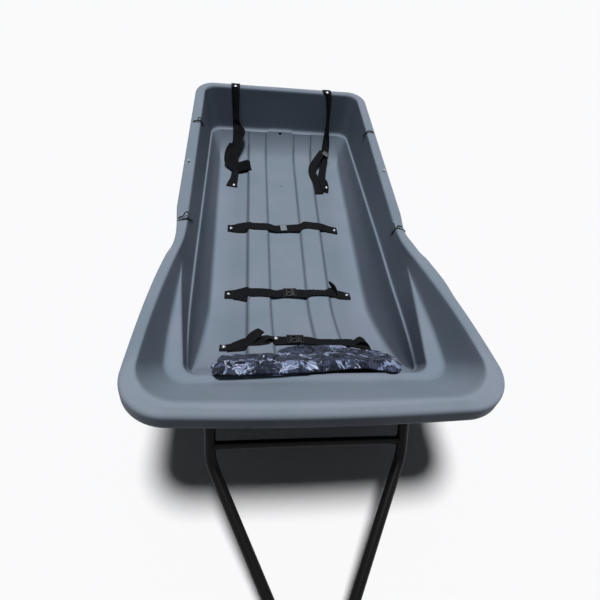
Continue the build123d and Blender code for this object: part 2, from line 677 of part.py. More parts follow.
def cross_tube(full_tubes):
    hinge, elbow, _, _ = drawbar_path()
    centre = between(hinge, elbow, CROSS_DROP / ELBOW_DROP)
    plane = Plane(place((0, centre[1], centre[2])), z_dir=(1, 0, 0))
    bar = plane * Cylinder(CROSS_TUBE / 2, 2 * HINGE_HALF)
    bar = bar - plane * Cylinder(CROSS_TUBE / 2 - TUBE_WALL, 2 * HINGE_HALF)
    for tube in full_tubes:
        bar = bar - tube
    return bar


def tow_plate(full_tubes):
    """Flat plate between the tubes' ends with the eye at its tip, lying in their plane."""
    fall = drawbar_path()[3]
    tip = place((0, HULL_LENGTH + HITCH_REACH - PLATE / 2 * sin(fall), PLATE / 2 * cos(fall) - WALL))
    plane = Plane(tip, x_dir=(1, 0, 0), z_dir=(0, -sin(fall), cos(fall)))
    nose = EYE_HOLE / 2 + EYE_EDGE
    eye = Pos(0, nose) * Circle(nose)
    tail = Line((-PLATE_WIDTH / 2, PLATE_LENGTH), (PLATE_WIDTH / 2, PLATE_LENGTH))
    outline = make_hull(eye.edges() + tail.edges()) - Pos(0, nose) * Circle(EYE_HOLE / 2)
    body = plane * extrude(outline, PLATE / 2, both=True)
    for tube in full_tubes:
        body = body - tube
    return body


def both(piece):
    return [piece, piece.mirror(Plane.YZ)]


def main():
    hull = build_hull() - drain_hole()
    rivets = []
    for name, (strap, lock, spots) in cross_straps().items():
        for spot in spots:
            hull = hull - spot * rivet_hole()
            strap = strap - spot * rivet_hole()
            rivets.append(spot * rivet(SEAT_GAP + WEB_THICKNESS + WALL))
        save(f"cross_strap_{name}", strap)
        save(f"buckle_{name}", lock)
    for name, (strap, spots) in tail_straps().items():
        for spot in spots:
            hull = hull - spot * rivet_hole()
            strap = strap - spot * rivet_hole()
            rivets.append(spot * rivet(SEAT_GAP + WEB_THICKNESS + WALL))
        save(f"tail_strap_{name}", strap)
    save("strap_rivets", *rivets)

    loops = []
    for station in LOOP_STATIONS:
        loop, hole = rim_loop(station)
        for side in both(hole):
            hull = hull - side
        loops += both(loop)
    save("rim_cord_loops", *loops)

    studs = both(rim_stud_place() * rivet(WALL))
    for hole in both(rim_stud_place() * rivet_hole()):
        hull = hull - hole
    save("rim_studs", *studs)
    save("bow_pad", pad())

    right_bracket = bracket()
    bolts = []
    for spot in bracket_bolts():
        hole = spot * Cylinder(BOLT / 2 + RIVET_CLEARANCE, 6 * WALL)
        right_bracket = right_bracket - hole
        for side in both(hole):
            hull = hull - side
        bolts += both(spot * bolt())
    save("bracket_bolts", *bolts)
    for name, piece in zip(("right", "left"), both(right_bracket)):
        save(f"hinge_bracket_{name}", piece)
    save("hinge_pins", *both(hinge_pin()))
    save("hull", hull)

    full_tubes = both(drawbar_tube(TUBE / 2))
    bore = pin_shape(PIN / 2 + PIN_CLEARANCE, 2 * BUSH_LENGTH)
    bush = pin_shape(BUSH / 2, BUSH_LENGTH)
    tube = full_tubes[0] - drawbar_tube(TUBE / 2 - TUBE_WALL) - bush
    for name, piece in zip(("right", "left"), both(tube)):
        save(f"drawbar_tube_{name}", piece)
    save("drawbar_bushes", *both(bush - bore))
    save("drawbar_cross_tube", cross_tube(full_tubes))
    save("tow_plate", tow_plate(full_tubes))
    print("tow plate slope", round(degrees(drawbar_path()[3]), 3))


main()
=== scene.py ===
from math import atan2, cos, pi, radians, sin

import bmesh
import bpy
import numpy as np
from mathutils import Matrix, Vector, noise
from mathutils.bvhtree import BVHTree


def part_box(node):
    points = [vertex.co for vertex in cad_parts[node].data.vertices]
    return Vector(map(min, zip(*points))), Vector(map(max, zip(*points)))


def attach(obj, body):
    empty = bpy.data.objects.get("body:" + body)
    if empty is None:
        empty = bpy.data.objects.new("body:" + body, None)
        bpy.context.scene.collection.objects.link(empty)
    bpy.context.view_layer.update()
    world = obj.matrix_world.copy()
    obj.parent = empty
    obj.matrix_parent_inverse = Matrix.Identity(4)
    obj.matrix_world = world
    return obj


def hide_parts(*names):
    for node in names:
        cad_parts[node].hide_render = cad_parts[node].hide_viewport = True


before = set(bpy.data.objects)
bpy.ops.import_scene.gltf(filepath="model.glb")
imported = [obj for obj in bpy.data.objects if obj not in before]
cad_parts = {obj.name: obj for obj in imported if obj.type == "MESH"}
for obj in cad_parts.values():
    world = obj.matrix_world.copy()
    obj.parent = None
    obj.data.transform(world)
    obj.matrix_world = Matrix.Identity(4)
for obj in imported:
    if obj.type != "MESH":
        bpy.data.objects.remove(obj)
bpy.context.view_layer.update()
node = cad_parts
sled_low, sled_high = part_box("hull")

# ---------------------------------------------------------------- camera
# Held above the tow bar and to the left of it, tipped down into the tub and rolled a
# little, with the bow nearest and the tail at the top.
CAMERA_PLACE = (-0.1852, -1.0783, 1.4776)
CAMERA_TURN, CAMERA_DIP, CAMERA_ROLL = -11.59, 51.527, 9.72
camera = bpy.data.objects.new("camera", bpy.data.cameras.new("camera"))
camera.data.lens = 25.61
camera.data.sensor_width = 36
camera.matrix_world = (
    Matrix.Translation(CAMERA_PLACE)
    @ Matrix.Rotation(radians(CAMERA_TURN), 4, "Z")
    @ Matrix.Rotation(radians(90 - CAMERA_DIP), 4, "X")
    @ Matrix.Rotation(radians(CAMERA_ROLL), 4, "Z"))
bpy.context.scene.collection.objects.link(camera)
bpy.context.scene.camera = camera
bpy.context.scene.view_settings.view_transform = "Standard"


# ---------------------------------------------------------------- floor and light
# Plain pale studio floor under one broad soft light almost straight above, which leaves
# the steep walls of the tub dark. Weak level lights and a dim sky fill the outer walls.
class Reading:
    """A value that varies over a surface; its operators add Math nodes."""

    def __init__(self, wiring, socket):
        self.wiring = wiring
        self.socket = socket

    def __add__(self, other):
        return self.wiring.maths("ADD", self, other)

    def __sub__(self, other):
        return self.wiring.maths("SUBTRACT", self, other)

    def __rsub__(self, other):
        return self.wiring.maths("SUBTRACT", other, self)

    def __mul__(self, other):
        return self.wiring.maths("MULTIPLY", self, other)

    __radd__ = __add__
    __rmul__ = __mul__

    def __abs__(self):
        return self.wiring.maths("ABSOLUTE", self)

    def at_most(self, other):
        return self.wiring.maths("MINIMUM", self, other)

    def at_least(self, other):
        return self.wiring.maths("MAXIMUM", self, other)

    def wave(self, length):
        """Sine of this distance, from -1 to 1."""
        return self.wiring.maths("SINE", self * (2 * pi / length))

    def ease(self, low, high):
        """0 below low, 1 above high, smooth between."""
        return self.wiring.node(
            "ShaderNodeMapRange", {"interpolation_type": "SMOOTHSTEP"},
            {"Value": self, "From Min": low, "From Max": high})

    def near(self, value, width):
        """1 at this value, 0 from the width away."""
        return 1 - abs(self - value).ease(0, width)


def paint(red, green, blue):
    """A colour as it is seen on a screen, 0 to 255, as the shader wants it."""
    return tuple((v / 255 / 12.92 if v < 10.3 else ((v / 255 + 0.055) / 1.055) ** 2.4)
                 for v in (red, green, blue)) + (1,)


class Wiring:
    """The shader nodes of a material or of the sky."""

    def __init__(self, owner):
        owner.use_nodes = True
        self.nodes = owner.node_tree.nodes
        self.links = owner.node_tree.links

    def feed(self, socket, value):
        if isinstance(value, Reading):
            self.links.new(value.socket, socket)
        else:
            socket.default_value = value

    def node(self, kind, settings=None, inputs=None, output=0):
        made = self.nodes.new(kind)
        for name, value in (settings or {}).items():
            if name == "stops":
                stops = made.color_ramp.elements
                while len(stops) < len(value):
                    stops.new(1)
                for stop, (place, colour) in zip(stops, value):
                    stop.position = place
                    stop.color = colour
            else:
                setattr(made, name, value)
        for name, value in (inputs or {}).items():
            self.feed(made.inputs[name], value)
        return Reading(self, made.outputs[output])

    def maths(self, operation, *values):
        return self.node("ShaderNodeMath", {"operation": operation}, dict(enumerate(values)))

    def show(self, output, lit, seen):
        """One shader for the light and another for what is seen, also in metal and glass."""
        rays = ("Is Camera Ray", "Is Glossy Ray", "Is Transmission Ray")
        looked_at = sum(self.node("ShaderNodeLightPath", output=ray) for ray in rays).at_most(1)
        both = self.node("ShaderNodeMixShader", None, {0: looked_at, 1: lit, 2: seen})
        self.feed(self.nodes[output].inputs["Surface"], both)


class Finish(Wiring):
    """A material on one Principled shader, and the nodes that vary it."""

    def __init__(self, name, **plain):
        self.material = bpy.data.materials.new(name)
        super().__init__(self.material)
        self.shader = self.nodes["Principled BSDF"]
        for socket, value in plain.items():
            self.feed(self.shader.inputs[socket.replace("_", " ")], value)

    def place(self):
        """Position on the object, in metres."""
        return self.node("ShaderNodeTexCoord", output="Object")

    def axis(self, name):
        return self.node("ShaderNodeSeparateXYZ", None, {0: self.place()}, output=name)

    def noted(self, name):
        """A number kept at each point of the mesh."""
        return self.node("ShaderNodeAttribute", {"attribute_name": name}, output="Fac")

    def grain(self, scale, detail=2.0, rough=0.5, where=None, bend=0.0):
        return self.node("ShaderNodeTexNoise", None, {
            "Vector": where or self.place(), "Scale": scale, "Detail": detail,
            "Roughness": rough, "Distortion": bend})

    def mix(self, share, first, second, blend="MIX"):
        return self.node(
            "ShaderNodeMix", {"data_type": "RGBA", "blend_type": blend},
            {0: share, 6: first, 7: second}, output=2)

    def coat(self, colour=None, roughness=None, height=None, depth=0.001, strength=1.0):
        """Links the varying colour, roughness and height to the shader."""
        for name, value in (("Base Color", colour), ("Roughness", roughness)):
            if value is not None:
                self.feed(self.shader.inputs[name], value)
        if height is not None:
            bump = self.node("ShaderNodeBump", None,
                             {"Height": height, "Distance": depth, "Strength": strength})
            self.feed(self.shader.inputs["Normal"], bump)
        return self.material


def dress(piece, material):
    """Give every face of a piece or CAD node one material."""
    piece.data.materials.clear()
    piece.data.materials.append(material)


def add_piece(name, mesh):
    piece = bpy.data.objects.new(name, mesh)
    bpy.context.scene.collection.objects.link(piece)
    return piece


def add_sun(name, level, width, turn):
    """Parallel light that shows a surface facing it at this share of its own colour."""
    light = bpy.data.objects.new(name, bpy.data.lights.new(name, "SUN"))
    light.data.energy = level * pi
    light.data.angle = radians(width)
    light.rotation_euler = [radians(angle) for angle in turn]
    bpy.context.scene.collection.objects.link(light)


FLOOR_REACH = 60
ground = bpy.data.meshes.new("studio_floor")
ground.from_pydata([(x * FLOOR_REACH, y * FLOOR_REACH, 0) for x, y in ((-1, -1), (1, -1), (1, 1), (-1, 1))],
                   [], [(0, 1, 2, 3)])
floor = add_piece("studio_floor", ground)
pale = Finish("studio_floor")
pale.show("Material Output",
          pale.node("ShaderNodeBsdfDiffuse", None, {"Color": paint(66, 67, 69)}),
          pale.node("ShaderNodeBsdfDiffuse", None, {"Color": paint(250, 250, 251)}))
dress(floor, pale.material)

add_sun("sun", 0.97, 14, (-6, -1.5, 0))
add_sun("left_fill", 0.16, 1, (90, 0, -90))
add_sun("right_fill", 0.16, 1, (90, 0, 90))
add_sun("tail_fill", 0.06, 1, (90, 0, 180))
sky = bpy.data.worlds.new("sky")
air = Wiring(sky)
air.show("World Output",
         air.node("ShaderNodeBackground", None, {"Color": (0.9, 0.95, 1, 1), "Strength": 0.035}),
         air.node("ShaderNodeBackground", None, {"Color": (1, 1, 1, 1)}))
bpy.context.scene.world = sky

# ---------------------------------------------------------------- tub
# One sheet of grey polyethylene formed over a mould: flat floor with two ribs, a ledge
# round the walls, a shelf round the raised bow and a rim with its edge turned down.
WALL = 5
LENGTH = round((sled_high.y - sled_low.y) * 1000)
SIDE, BOW_TOP = 337, 545
# where the rim starts to rise, where the bow shelf starts, and where the sides stop being straight
KINK = LENGTH - 777
TIP = KINK + 107
SIDE_END = KINK - 168
RIM_DROP, LIP_FLARE, LIP_DEPTH = 12, 4, 46
RIM_HALF, BOW_HALF, TAIL_HALF = 413, 450.5, 463
HALF = round((sled_high.x - sled_low.x) * 500, 1) - LIP_FLARE
RIB_IN, RIB_OUT, RIB, RIB_SIDE = 81, 180, 14, 14
# control arm that makes a cubic follow a quarter circle
ARM = 0.5523
# columns of the mesh across the floor; those past EVEN are spread out to the floor's edge
EVEN, SPREAD = 200, 5
ACROSS = [0, 20, 40, 60, 72, 76, 79, 82, 85, 88, 92, 110, 130, 150, 169, 173, 176, 179, 182, 185, 189,
          *range(EVEN, EVEN + SPREAD + 1)]


def spot(point):
    """Millimetres across, forward of the tail lip and above the tub's floor, in the model."""
    x, station, height = point
    return Vector((x / 1000, sled_high.y - station / 1000, sled_low.z + (height + WALL) / 1000))


def bow(back):
    return LENGTH - back


def rise(part):
    return SIDE + (BOW_TOP - SIDE) * part


def ledge(station):
    return 114 + 0.097 * (station - 92)


def shelf(station):
    return 344 + 0.09 * (station - TIP)


def spread(x, edge):
    """Where a column lies across a floor with its edge here."""
    return x if x < EVEN else EVEN + (edge - EVEN) * (x - EVEN) / SPREAD


def bezier(points, t):
    while len(points) > 1:
        points = [tuple(p + (q - p) * t for p, q in zip(a, b)) for a, b in zip(points, points[1:])]
    return points[0]


def half_ring(tail, side, side_end, waist, tip, flare, cheek, nose, crown=0):
    """Right half of a line round the tub, from the middle of the tail to the middle of the bow."""
    def corner(a, b):
        arm = (a[0], a[1] + (b[1] - a[1]) * ARM, a[2] + (b[2] - a[2]) * ARM)
        return [a, arm, (b[0] + (a[0] - b[0]) * ARM, b[1], b[2]), b]

    line = [bezier([(0, *tail[1:]), tail], spread(x, tail[0]) / tail[0]) for x in ACROSS[:-1]]
    for stretch, count in ((corner(side, tail)[::-1], 12), ([side, side_end], 26),
                           ([side_end, *waist, tip], 16), ([tip, *flare, cheek], 30),
                           (corner(cheek, nose), 14)):
        line += [bezier(stretch, i / count) for i in range(count)]
    middle = (0, nose[1] + crown, nose[2] + crown / 4)
    bow_line = [nose, (nose[0] * 2 / 3, nose[1] + crown * 2 / 3, nose[2] + crown / 6),
                (nose[0] / 3, middle[1], middle[2]), middle]
    return line + [bezier(bow_line, 1 - spread(x, nose[0]) / nose[0]) for x in ACROSS[::-1]]


# each line round the tub: across, forward and up where the tail's corner starts and ends, where
# the straight side ends, round the waist to the shelf's tip, and out to the bow's corner and front
rim_inner = dict(
    tail=(353, 46, SIDE), side=(RIM_HALF, 106, SIDE), side_end=(RIM_HALF, SIDE_END, SIDE),
    waist=[(412, SIDE_END + 70, SIDE), (403, SIDE_END + 170, rise(0.13))],
    tip=(419, TIP, rise(0.284)), flare=[(436.5, bow(505), rise(0.514)), (448.5, bow(325), rise(0.784))],
    cheek=(BOW_HALF, bow(155), rise(0.94)), nose=(335.5, bow(43), BOW_TOP - 2), crown=8)
rim_outer = dict(
    tail=(368, 4, SIDE - 3), side=(TAIL_HALF, 99, SIDE - RIM_DROP),
    side_end=(TAIL_HALF, SIDE_END - 40, SIDE - RIM_DROP),
    waist=[(458, SIDE_END + 40, SIDE - RIM_DROP), (433, SIDE_END + 152, SIDE - 2)],
    tip=(458, TIP, rise(0.284) - RIM_DROP),
    flare=[(479.5, bow(505), rise(0.5) - RIM_DROP), (482, bow(315), rise(0.784) - RIM_DROP)],
    cheek=(HALF, bow(135), rise(0.94) - RIM_DROP), nose=(360.5, bow(12), BOW_TOP - 14), crown=8)
ledge_outer = dict(
    tail=(334, 85, 123), side=(392, 148, ledge(148)), side_end=(388, SIDE_END, ledge(SIDE_END)),
    waist=[(388, SIDE_END + 90, ledge(SIDE_END + 90)), (388, SIDE_END + 190, ledge(SIDE_END + 190) - 4)],
    tip=(387, TIP, ledge(TIP) - 5),
    flare=[(385, bow(525), ledge(bow(525)) + 1), (376, bow(365), ledge(bow(365)) + 21)],
    cheek=(362, bow(275), shelf(bow(275)) - 73), nose=(319, bow(229), shelf(bow(229)) - 61))
ledge_inner = dict(
    tail=(331, 98, 115), side=(384, 150, ledge(150) - 1), side_end=(380, SIDE_END, ledge(SIDE_END) - 1),
    waist=[(x - 8, s, h - 1) for x, s, h in ledge_outer["waist"]],
    tip=(379, TIP, ledge_outer["tip"][2] - 1),
    flare=[(x - 7, s - 2, h - 3) for x, s, h in ledge_outer["flare"]],
    cheek=(358, bow(283), ledge_outer["cheek"][2] - 13), nose=(316, bow(238), ledge_outer["nose"][2] - 13))
floor_edge = dict(
    tail=(290, 164, 0), side=(339, 199, 0), side_end=(339, SIDE_END, 0),
    waist=[(339, SIDE_END + 120, 0), (339, TIP - 45, 2)], tip=(340, TIP, 18),
    flare=[(344, TIP + 125, 62), (356, bow(375), 136)], cheek=(353, bow(293), 236),
    nose=(311, bow(248), 296))
floor_flat = dict(
    tail=(270, 254, 0), side=(324, 300, 0), side_end=(324, SIDE_END, 0),
    waist=[(324, SIDE_END + 120, 0), (324, TIP - 45, 2)], tip=(325, TIP, 18),
    flare=[(328, TIP + 125, 62), (334, bow(375), 136)], cheek=(331, bow(315), 210),
    nose=(292, bow(272), 270))
shelf_outer = [(408, TIP + 145), (418, bow(365)), (412, bow(250)), (344, bow(171))]
shelf_inner = [(400, TIP + 135), (376, bow(365)), (361, bow(243)), (319, bow(198))]


def shelf_ring(plan, part):
    """Edge of the bow shelf; behind its tip it is a line on the wall."""
    low, high = ledge_outer["tip"], rim_inner["tip"]
    share = (shelf(TIP) - low[2]) / (high[2] - low[2]) + part
    keys = ("tail", "side", "side_end", "tip")
    ring = {key: tuple(a + (b - a) * share for a, b in zip(ledge_outer[key], rim_inner[key]))
            for key in keys}
    ring["waist"] = [tuple(a + (b - a) * share for a, b in zip(p, q))
                     for p, q in zip(ledge_outer["waist"], rim_inner["waist"])]
    level = [(x, s, shelf(s)) for x, s in plan]
    ring.update(flare=level[:2], cheek=level[2], nose=level[3])
    return ring


def moved(ring, out, ahead, down):
    """The same ring further out and lower."""
    def shift(point, along=0.0):
        return (point[0] + out, point[1] + along, point[2] - down)
    made = {key: shift(ring[key]) for key in ("side", "side_end", "tip")}
    made.update(tail=(ring["tail"][0], ring["tail"][1] - out, ring["tail"][2] - down),
                waist=[shift(p) for p in ring["waist"]],
                flare=[shift(ring["flare"][0], ahead / 3), shift(ring["flare"][1], ahead * 2 / 3)],
                cheek=shift(ring["cheek"], ahead), crown=ring.get("crown", 0),
                nose=(ring["nose"][0], ring["nose"][1] + ahead, ring["nose"][2] - down))
    return made


def smooth(t):
    t = min(max(t, 0), 1)
    return t * t * (3 - 2 * t)


def rib(x):
    """Height of the two ribs across the floor."""
    x = abs(x)
    return RIB * smooth((x - RIB_IN + 8) / RIB_SIDE) * (1 - smooth((x - RIB_OUT + 6) / RIB_SIDE))


lines = [half_ring(**ring) for ring in (
    floor_flat, floor_edge, ledge_inner, ledge_outer, shelf_ring(shelf_inner, -0.012),
    shelf_ring(shelf_outer, 0.012), rim_inner, rim_outer,
    moved(rim_outer, LIP_FLARE, LIP_FLARE, LIP_DEPTH))]
COLUMNS = len(lines[0]) - 1
TAIL_COLUMNS = len(ACROSS) - 1
LEDGE_TAB, TAB_HALF = 5, 75
# the right rim is trimmed wider from the waist to the bow, and less so round the bow's corner
FLANGE, CORNER, FLANGE_EASE = 18, 10, 130
FLANGE_START, CORNER_START = SIDE_END + 60, bow(545)
# share of the lower wall under its steep part, and share of that part in the cove at its foot
STEEP_TAIL, STEEP_SIDE, COVE_TAIL, COVE_SIDE, BULGE = 0.97, 0.55, 0.97, 0.27, 7
# rows of the mesh that the ribs climb on the tail wall, and the row where they start to fade
RIB_ROWS, RIB_FADE, COVE_ROWS, RIB_LEAN = 24, 19, 16, radians(60)
DRAIN, DRAIN_DEPTH, DRAIN_RECESS, MOULD_MARK = 12, 10, 3, 441
# rounding, as the length taken from each side of the bend at each line after the floor's
ROUNDS = [None, None, 7, 10, 10, 18, 13, 13, 0]


def profile(column, right):
    """Points up the wall of one column, from the flat of the floor to the turned-down edge."""
    bends = [Vector(line[column]) for line in lines]
    if right:
        station = bends[7].y
        extra = FLANGE * smooth((station - FLANGE_START) / FLANGE_EASE)
        extra -= (FLANGE - CORNER) * smooth((station - CORNER_START) / FLANGE_EASE)
        extra *= smooth(bends[7].x / 300)
        for bend in bends[7:]:
            bend.x += extra
    flat, foot, inner = bends[:3]
    along_side = smooth((column - TAIL_COLUMNS) / 12)
    tab = LEDGE_TAB * smooth((TAB_HALF - bends[3].x) / 12) * (1 - along_side)
    for bend in bends[2:4]:
        bend.z += tab
    steep = foot + (inner - foot) * (STEEP_TAIL + (STEEP_SIDE - STEEP_TAIL) * along_side)
    out = Vector((inner.x - foot.x, inner.y - foot.y, 0)).normalized()
    steep += out * BULGE * smooth((column - TAIL_COLUMNS - 6) / 12)
    cove_end = foot + (steep - foot) * (COVE_TAIL + (COVE_SIDE - COVE_TAIL) * along_side)
    points = []

    def arc(start, bend, end, count):
        for i in range(count):
            t = i / (count - 1)
            points.append(start * (1 - t) ** 2 + bend * 2 * t * (1 - t) + end * t * t)

    def run(end, count):
        start = points[-1]
        for i in range(1, count + 1):
            points.append(start.lerp(end, i / (count + 1)))

    arc(flat, foot, cove_end, 14)
    arc(cove_end.lerp(steep, 0.4), steep, steep.lerp(inner, 0.5), 6)
    before = points[-1]
    for k, (straight, round_count) in enumerate(((2, 4), (1, 4), (6, 6), (2, 8), (5, 8), (3, 10)), 2):
        bend, after = bends[k], bends[k + 1]
        start = bend + (before - bend).normalized() * min(ROUNDS[k], 0.45 * (before - bend).length)
        end = bend + (after - bend).normalized() * min(ROUNDS[k], 0.45 * (after - bend).length)
        run(start, straight)
        arc(start, bend, end, round_count)
        before = bend
    run(bends[-1], 4)
    return points + [bends[-1]]


def build_tub():
    """Both halves of the wall, their lower edges joined by the floor."""
    halves = [[profile(c, right) for c in range(COLUMNS + 1)] for right in (True, False)]
    for half in halves:
        for c in range(TAIL_COLUMNS + 1):
            tail, front = half[c], half[COLUMNS - c]
            for r in range(RIB_ROWS):
                lean = RIB_LEAN * smooth(r / COVE_ROWS)
                lift = rib(tail[r].x) * (1 - smooth((r - RIB_FADE) / 4))
                tail[r] += Vector((0, sin(lean), cos(lean))) * lift
                front[r] += Vector((0, -0.6, 0.75)) * rib(front[r].x) * (1 - smooth(r / 4))
    half, left = halves
    rows = len(half[0])
    turn = 2 * COLUMNS
    verts = [spot(p) for column in half for p in column]
    verts += [spot((-p.x, p.y, p.z)) for column in left[-2:0:-1] for p in column]
    faces = []
    for c in range(turn):
        a, b = c * rows, (c + 1) % turn * rows
        faces += [(a + r, b + r, b + r + 1, a + r + 1) for r in range(rows - 1)]
    grid = []
    last = COLUMNS - TAIL_COLUMNS
    for c in range(TAIL_COLUMNS, last + 1):
        edge = half[c][0]
        ahead = half[min(c + 1, last)][0] - half[max(c - 1, TAIL_COLUMNS)][0]
        normal = Vector((0, -ahead.z, ahead.y)).normalized()
        line = []
        for j in range(-TAIL_COLUMNS, TAIL_COLUMNS + 1):
            if abs(j) == TAIL_COLUMNS:
                line.append((c if j > 0 else turn - c) % turn * rows)
            elif c == TAIL_COLUMNS:
                line.append(abs(j) * rows if j >= 0 else (turn + j) % turn * rows)
            elif c == last:
                line.append((COLUMNS - abs(j)) * rows if j >= 0 else (COLUMNS + abs(j)) * rows)
            else:
                x = spread(ACROSS[abs(j)], edge.x) * (1 if j > 0 else -1)
                line.append(len(verts))
                verts.append(spot(Vector((x, edge.y, edge.z)) + normal * rib(x)))
        grid.append(line)
    for a, b in zip(grid, grid[1:]):
        faces += [(a[j], a[j + 1], b[j + 1], b[j]) for j in range(len(a) - 1)]
    return solid_piece("tub", verts, faces)


def solid_piece(name, verts, faces):
    """A smooth piece with its faces all turned the same way."""
    mesh = bpy.data.meshes.new(name)
    mesh.from_pydata(verts, [], faces)
    shape = bmesh.new()
    shape.from_mesh(mesh)
    bmesh.ops.recalc_face_normals(shape, faces=shape.faces)
    shape.to_mesh(mesh)
    shape.free()
    mesh.shade_smooth()
    return add_piece(name, mesh)


def settle(piece):
    """Apply a piece's modifiers."""
    bpy.context.view_layer.update()
    done = bpy.data.meshes.new_from_object(piece.evaluated_get(bpy.context.evaluated_depsgraph_get()))
    piece.modifiers.clear()
    piece.data = done


tub = build_tub()
if tub.data.polygons[-1].normal.z < 0:
    tub.data.flip_normals()
sheet = tub.modifiers.new("sheet", "SOLIDIFY")
sheet.thickness = WALL / 1000
sheet.offset = -1
sheet.use_even_offset = True
settle(tub)


def tree(piece):
    """The piece's faces, to find them with a ray."""
    mesh = piece.data
    return BVHTree.FromPolygons([v.co for v in mesh.vertices], [p.vertices for p in mesh.polygons])


drain_place, drain_way = tree(tub).ray_cast(
    spot((0, 300, ledge_inner["tail"][2] - DRAIN_DEPTH + LEDGE_TAB)), Vector((0, 1, 0)))[:2]
bore, cutter_length = DRAIN / 2000, 0.02
drain = bmesh.new()
bmesh.ops.create_cone(
    drain, cap_ends=True, segments=24, radius1=bore, radius2=bore, depth=cutter_length,
    matrix=Matrix.Translation(drain_place + drain_way * (cutter_length / 2 - DRAIN_RECESS / 1000))
    @ Vector((0, 0, 1)).rotation_difference(drain_way).to_matrix().to_4x4())
drain_mesh = bpy.data.meshes.new("drain")
drain.to_mesh(drain_mesh)
drain.free()
drain_cutter = add_piece("drain_cutter", drain_mesh)
hole = tub.modifiers.new("hole", "BOOLEAN")
hole.object = drain_cutter
hole.solver = "EXACT"
settle(tub)
bpy.data.objects.remove(drain_cutter)
tub.data.shade_smooth()

plastic = Finish("grey_polyethylene", Specular_IOR_Level=0.08)
cloudy = plastic.grain(5, 3)
specks = plastic.grain(900, 3, 0.6)
scuffs = plastic.grain(40, 4, 0.7, bend=0.6)
across, along = abs(plastic.axis("X")), plastic.axis("Y")
on_floor = along.ease(sled_low.y + 0.25, sled_low.y + 0.27) * (
    1 - along.ease(sled_high.y - 0.16, sled_high.y - 0.13)) * across.near(0, 0.33).ease(0, 0.2)
# Painted shade: the floor is darkened along the creases of the two ribs, and a little outside the outer ribs
# towards the walls, where shade falls.
painted_crease_shade = on_floor * (across.near(RIB_OUT / 1000, 0.015) * 0.45 + across.near(RIB_IN / 1000, 0.013) * 0.28
                    + across.ease(0.175, 0.195) * 0.09)
# Wear and painted sheen: the top of the rim round the bow is lightened with scuffs, and also to stand in for
# the sheen of the light on it.
wear_and_painted_sheen = plastic.axis("Z").ease(sled_high.z - 0.03, sled_high.z - 0.012) * (0.08 + scuffs * 0.2)
tone = plastic.mix(cloudy.ease(0.3, 0.7), paint(123, 137, 150), paint(132, 141, 156))
tone = plastic.mix(specks.ease(0.35, 0.75) * 0.16, tone, paint(110, 121, 138))
tone = plastic.mix(painted_crease_shade, tone, paint(40, 46, 55))
tone = plastic.mix(wear_and_painted_sheen, tone, paint(172, 180, 194))
facing = plastic.node("ShaderNodeTexCoord", output="Normal")
# Painted shade: faces are darkened the more upright they stand, so the steep walls of the tub come out darker
# than the floor.
painted_wall_shade = 1 - abs(plastic.node("ShaderNodeSeparateXYZ", None, {0: facing}, output="Z")).ease(0.05, 0.75)
tone = plastic.mix(painted_wall_shade * 0.36, tone, paint(60, 68, 80))
mark = plastic.node("ShaderNodeVectorMath", {"operation": "DISTANCE"},
                    {0: plastic.place(), 1: spot((0, MOULD_MARK, 0))}, output="Value")
tone = plastic.mix((1 - mark.ease(0.004, 0.012)) * 0.35, tone, paint(60, 68, 80))
# Painted shade: the blind drain recess is painted almost black, standing in for the shade seen through an
# open hole.
painted_drain_shade = plastic.node("ShaderNodeVectorMath", {"operation": "DISTANCE"},
                    {0: plastic.place(), 1: drain_place}, output="Value")
tone = plastic.mix((1 - painted_drain_shade.ease(0.0075, 0.0095)) * 0.9, tone, paint(14, 16, 20))
plastic.coat(tone, 0.46 + scuffs * 0.12,
             specks + plastic.grain(350, 2) * 0.6 + mark.ease(0.003, 0.01) * 3, 0.0002, 0.5)
dress(tub, plastic.material)
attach(tub, "sled")
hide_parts("hull")
surface = tree(tub)


def deck(x, station):
    """Height of the tub under this place, above its floor, in millimetres."""
    found = surface.ray_cast(spot((x, station, 900)), Vector((0, 0, -1)))[0]
    return (found.z - sled_low.z) * 1000 - WALL


# ---------------------------------------------------------------- webbing
# Black polyester webbing 50 mm wide with ribs woven across it. Three straps cross the
# floor, riveted at both ends; two hang from the tail rim and lie twisted on the floor.
WEB, WEB_THICK = 50, 2
RUCK, RUCK_LENGTH, CREASE, CREASE_LENGTH = 1.4, 21, 1.2, 13


def through(knots, steps):
    """Smooth run through rows of numbers."""
    rows = [np.array(k, float) for k in (knots[0], *knots, knots[-1])]
    run = []
    for p, q, r, s in zip(rows, rows[1:], rows[2:], rows[3:]):
        for i in range(steps):
            t = i / steps
            run.append(q + ((r - p) * t + (2 * p - 5 * q + 4 * r - s) * t ** 2
                            + (3 * q - p - 3 * r + s) * t ** 3) / 2)
    return run + [rows[-1]]


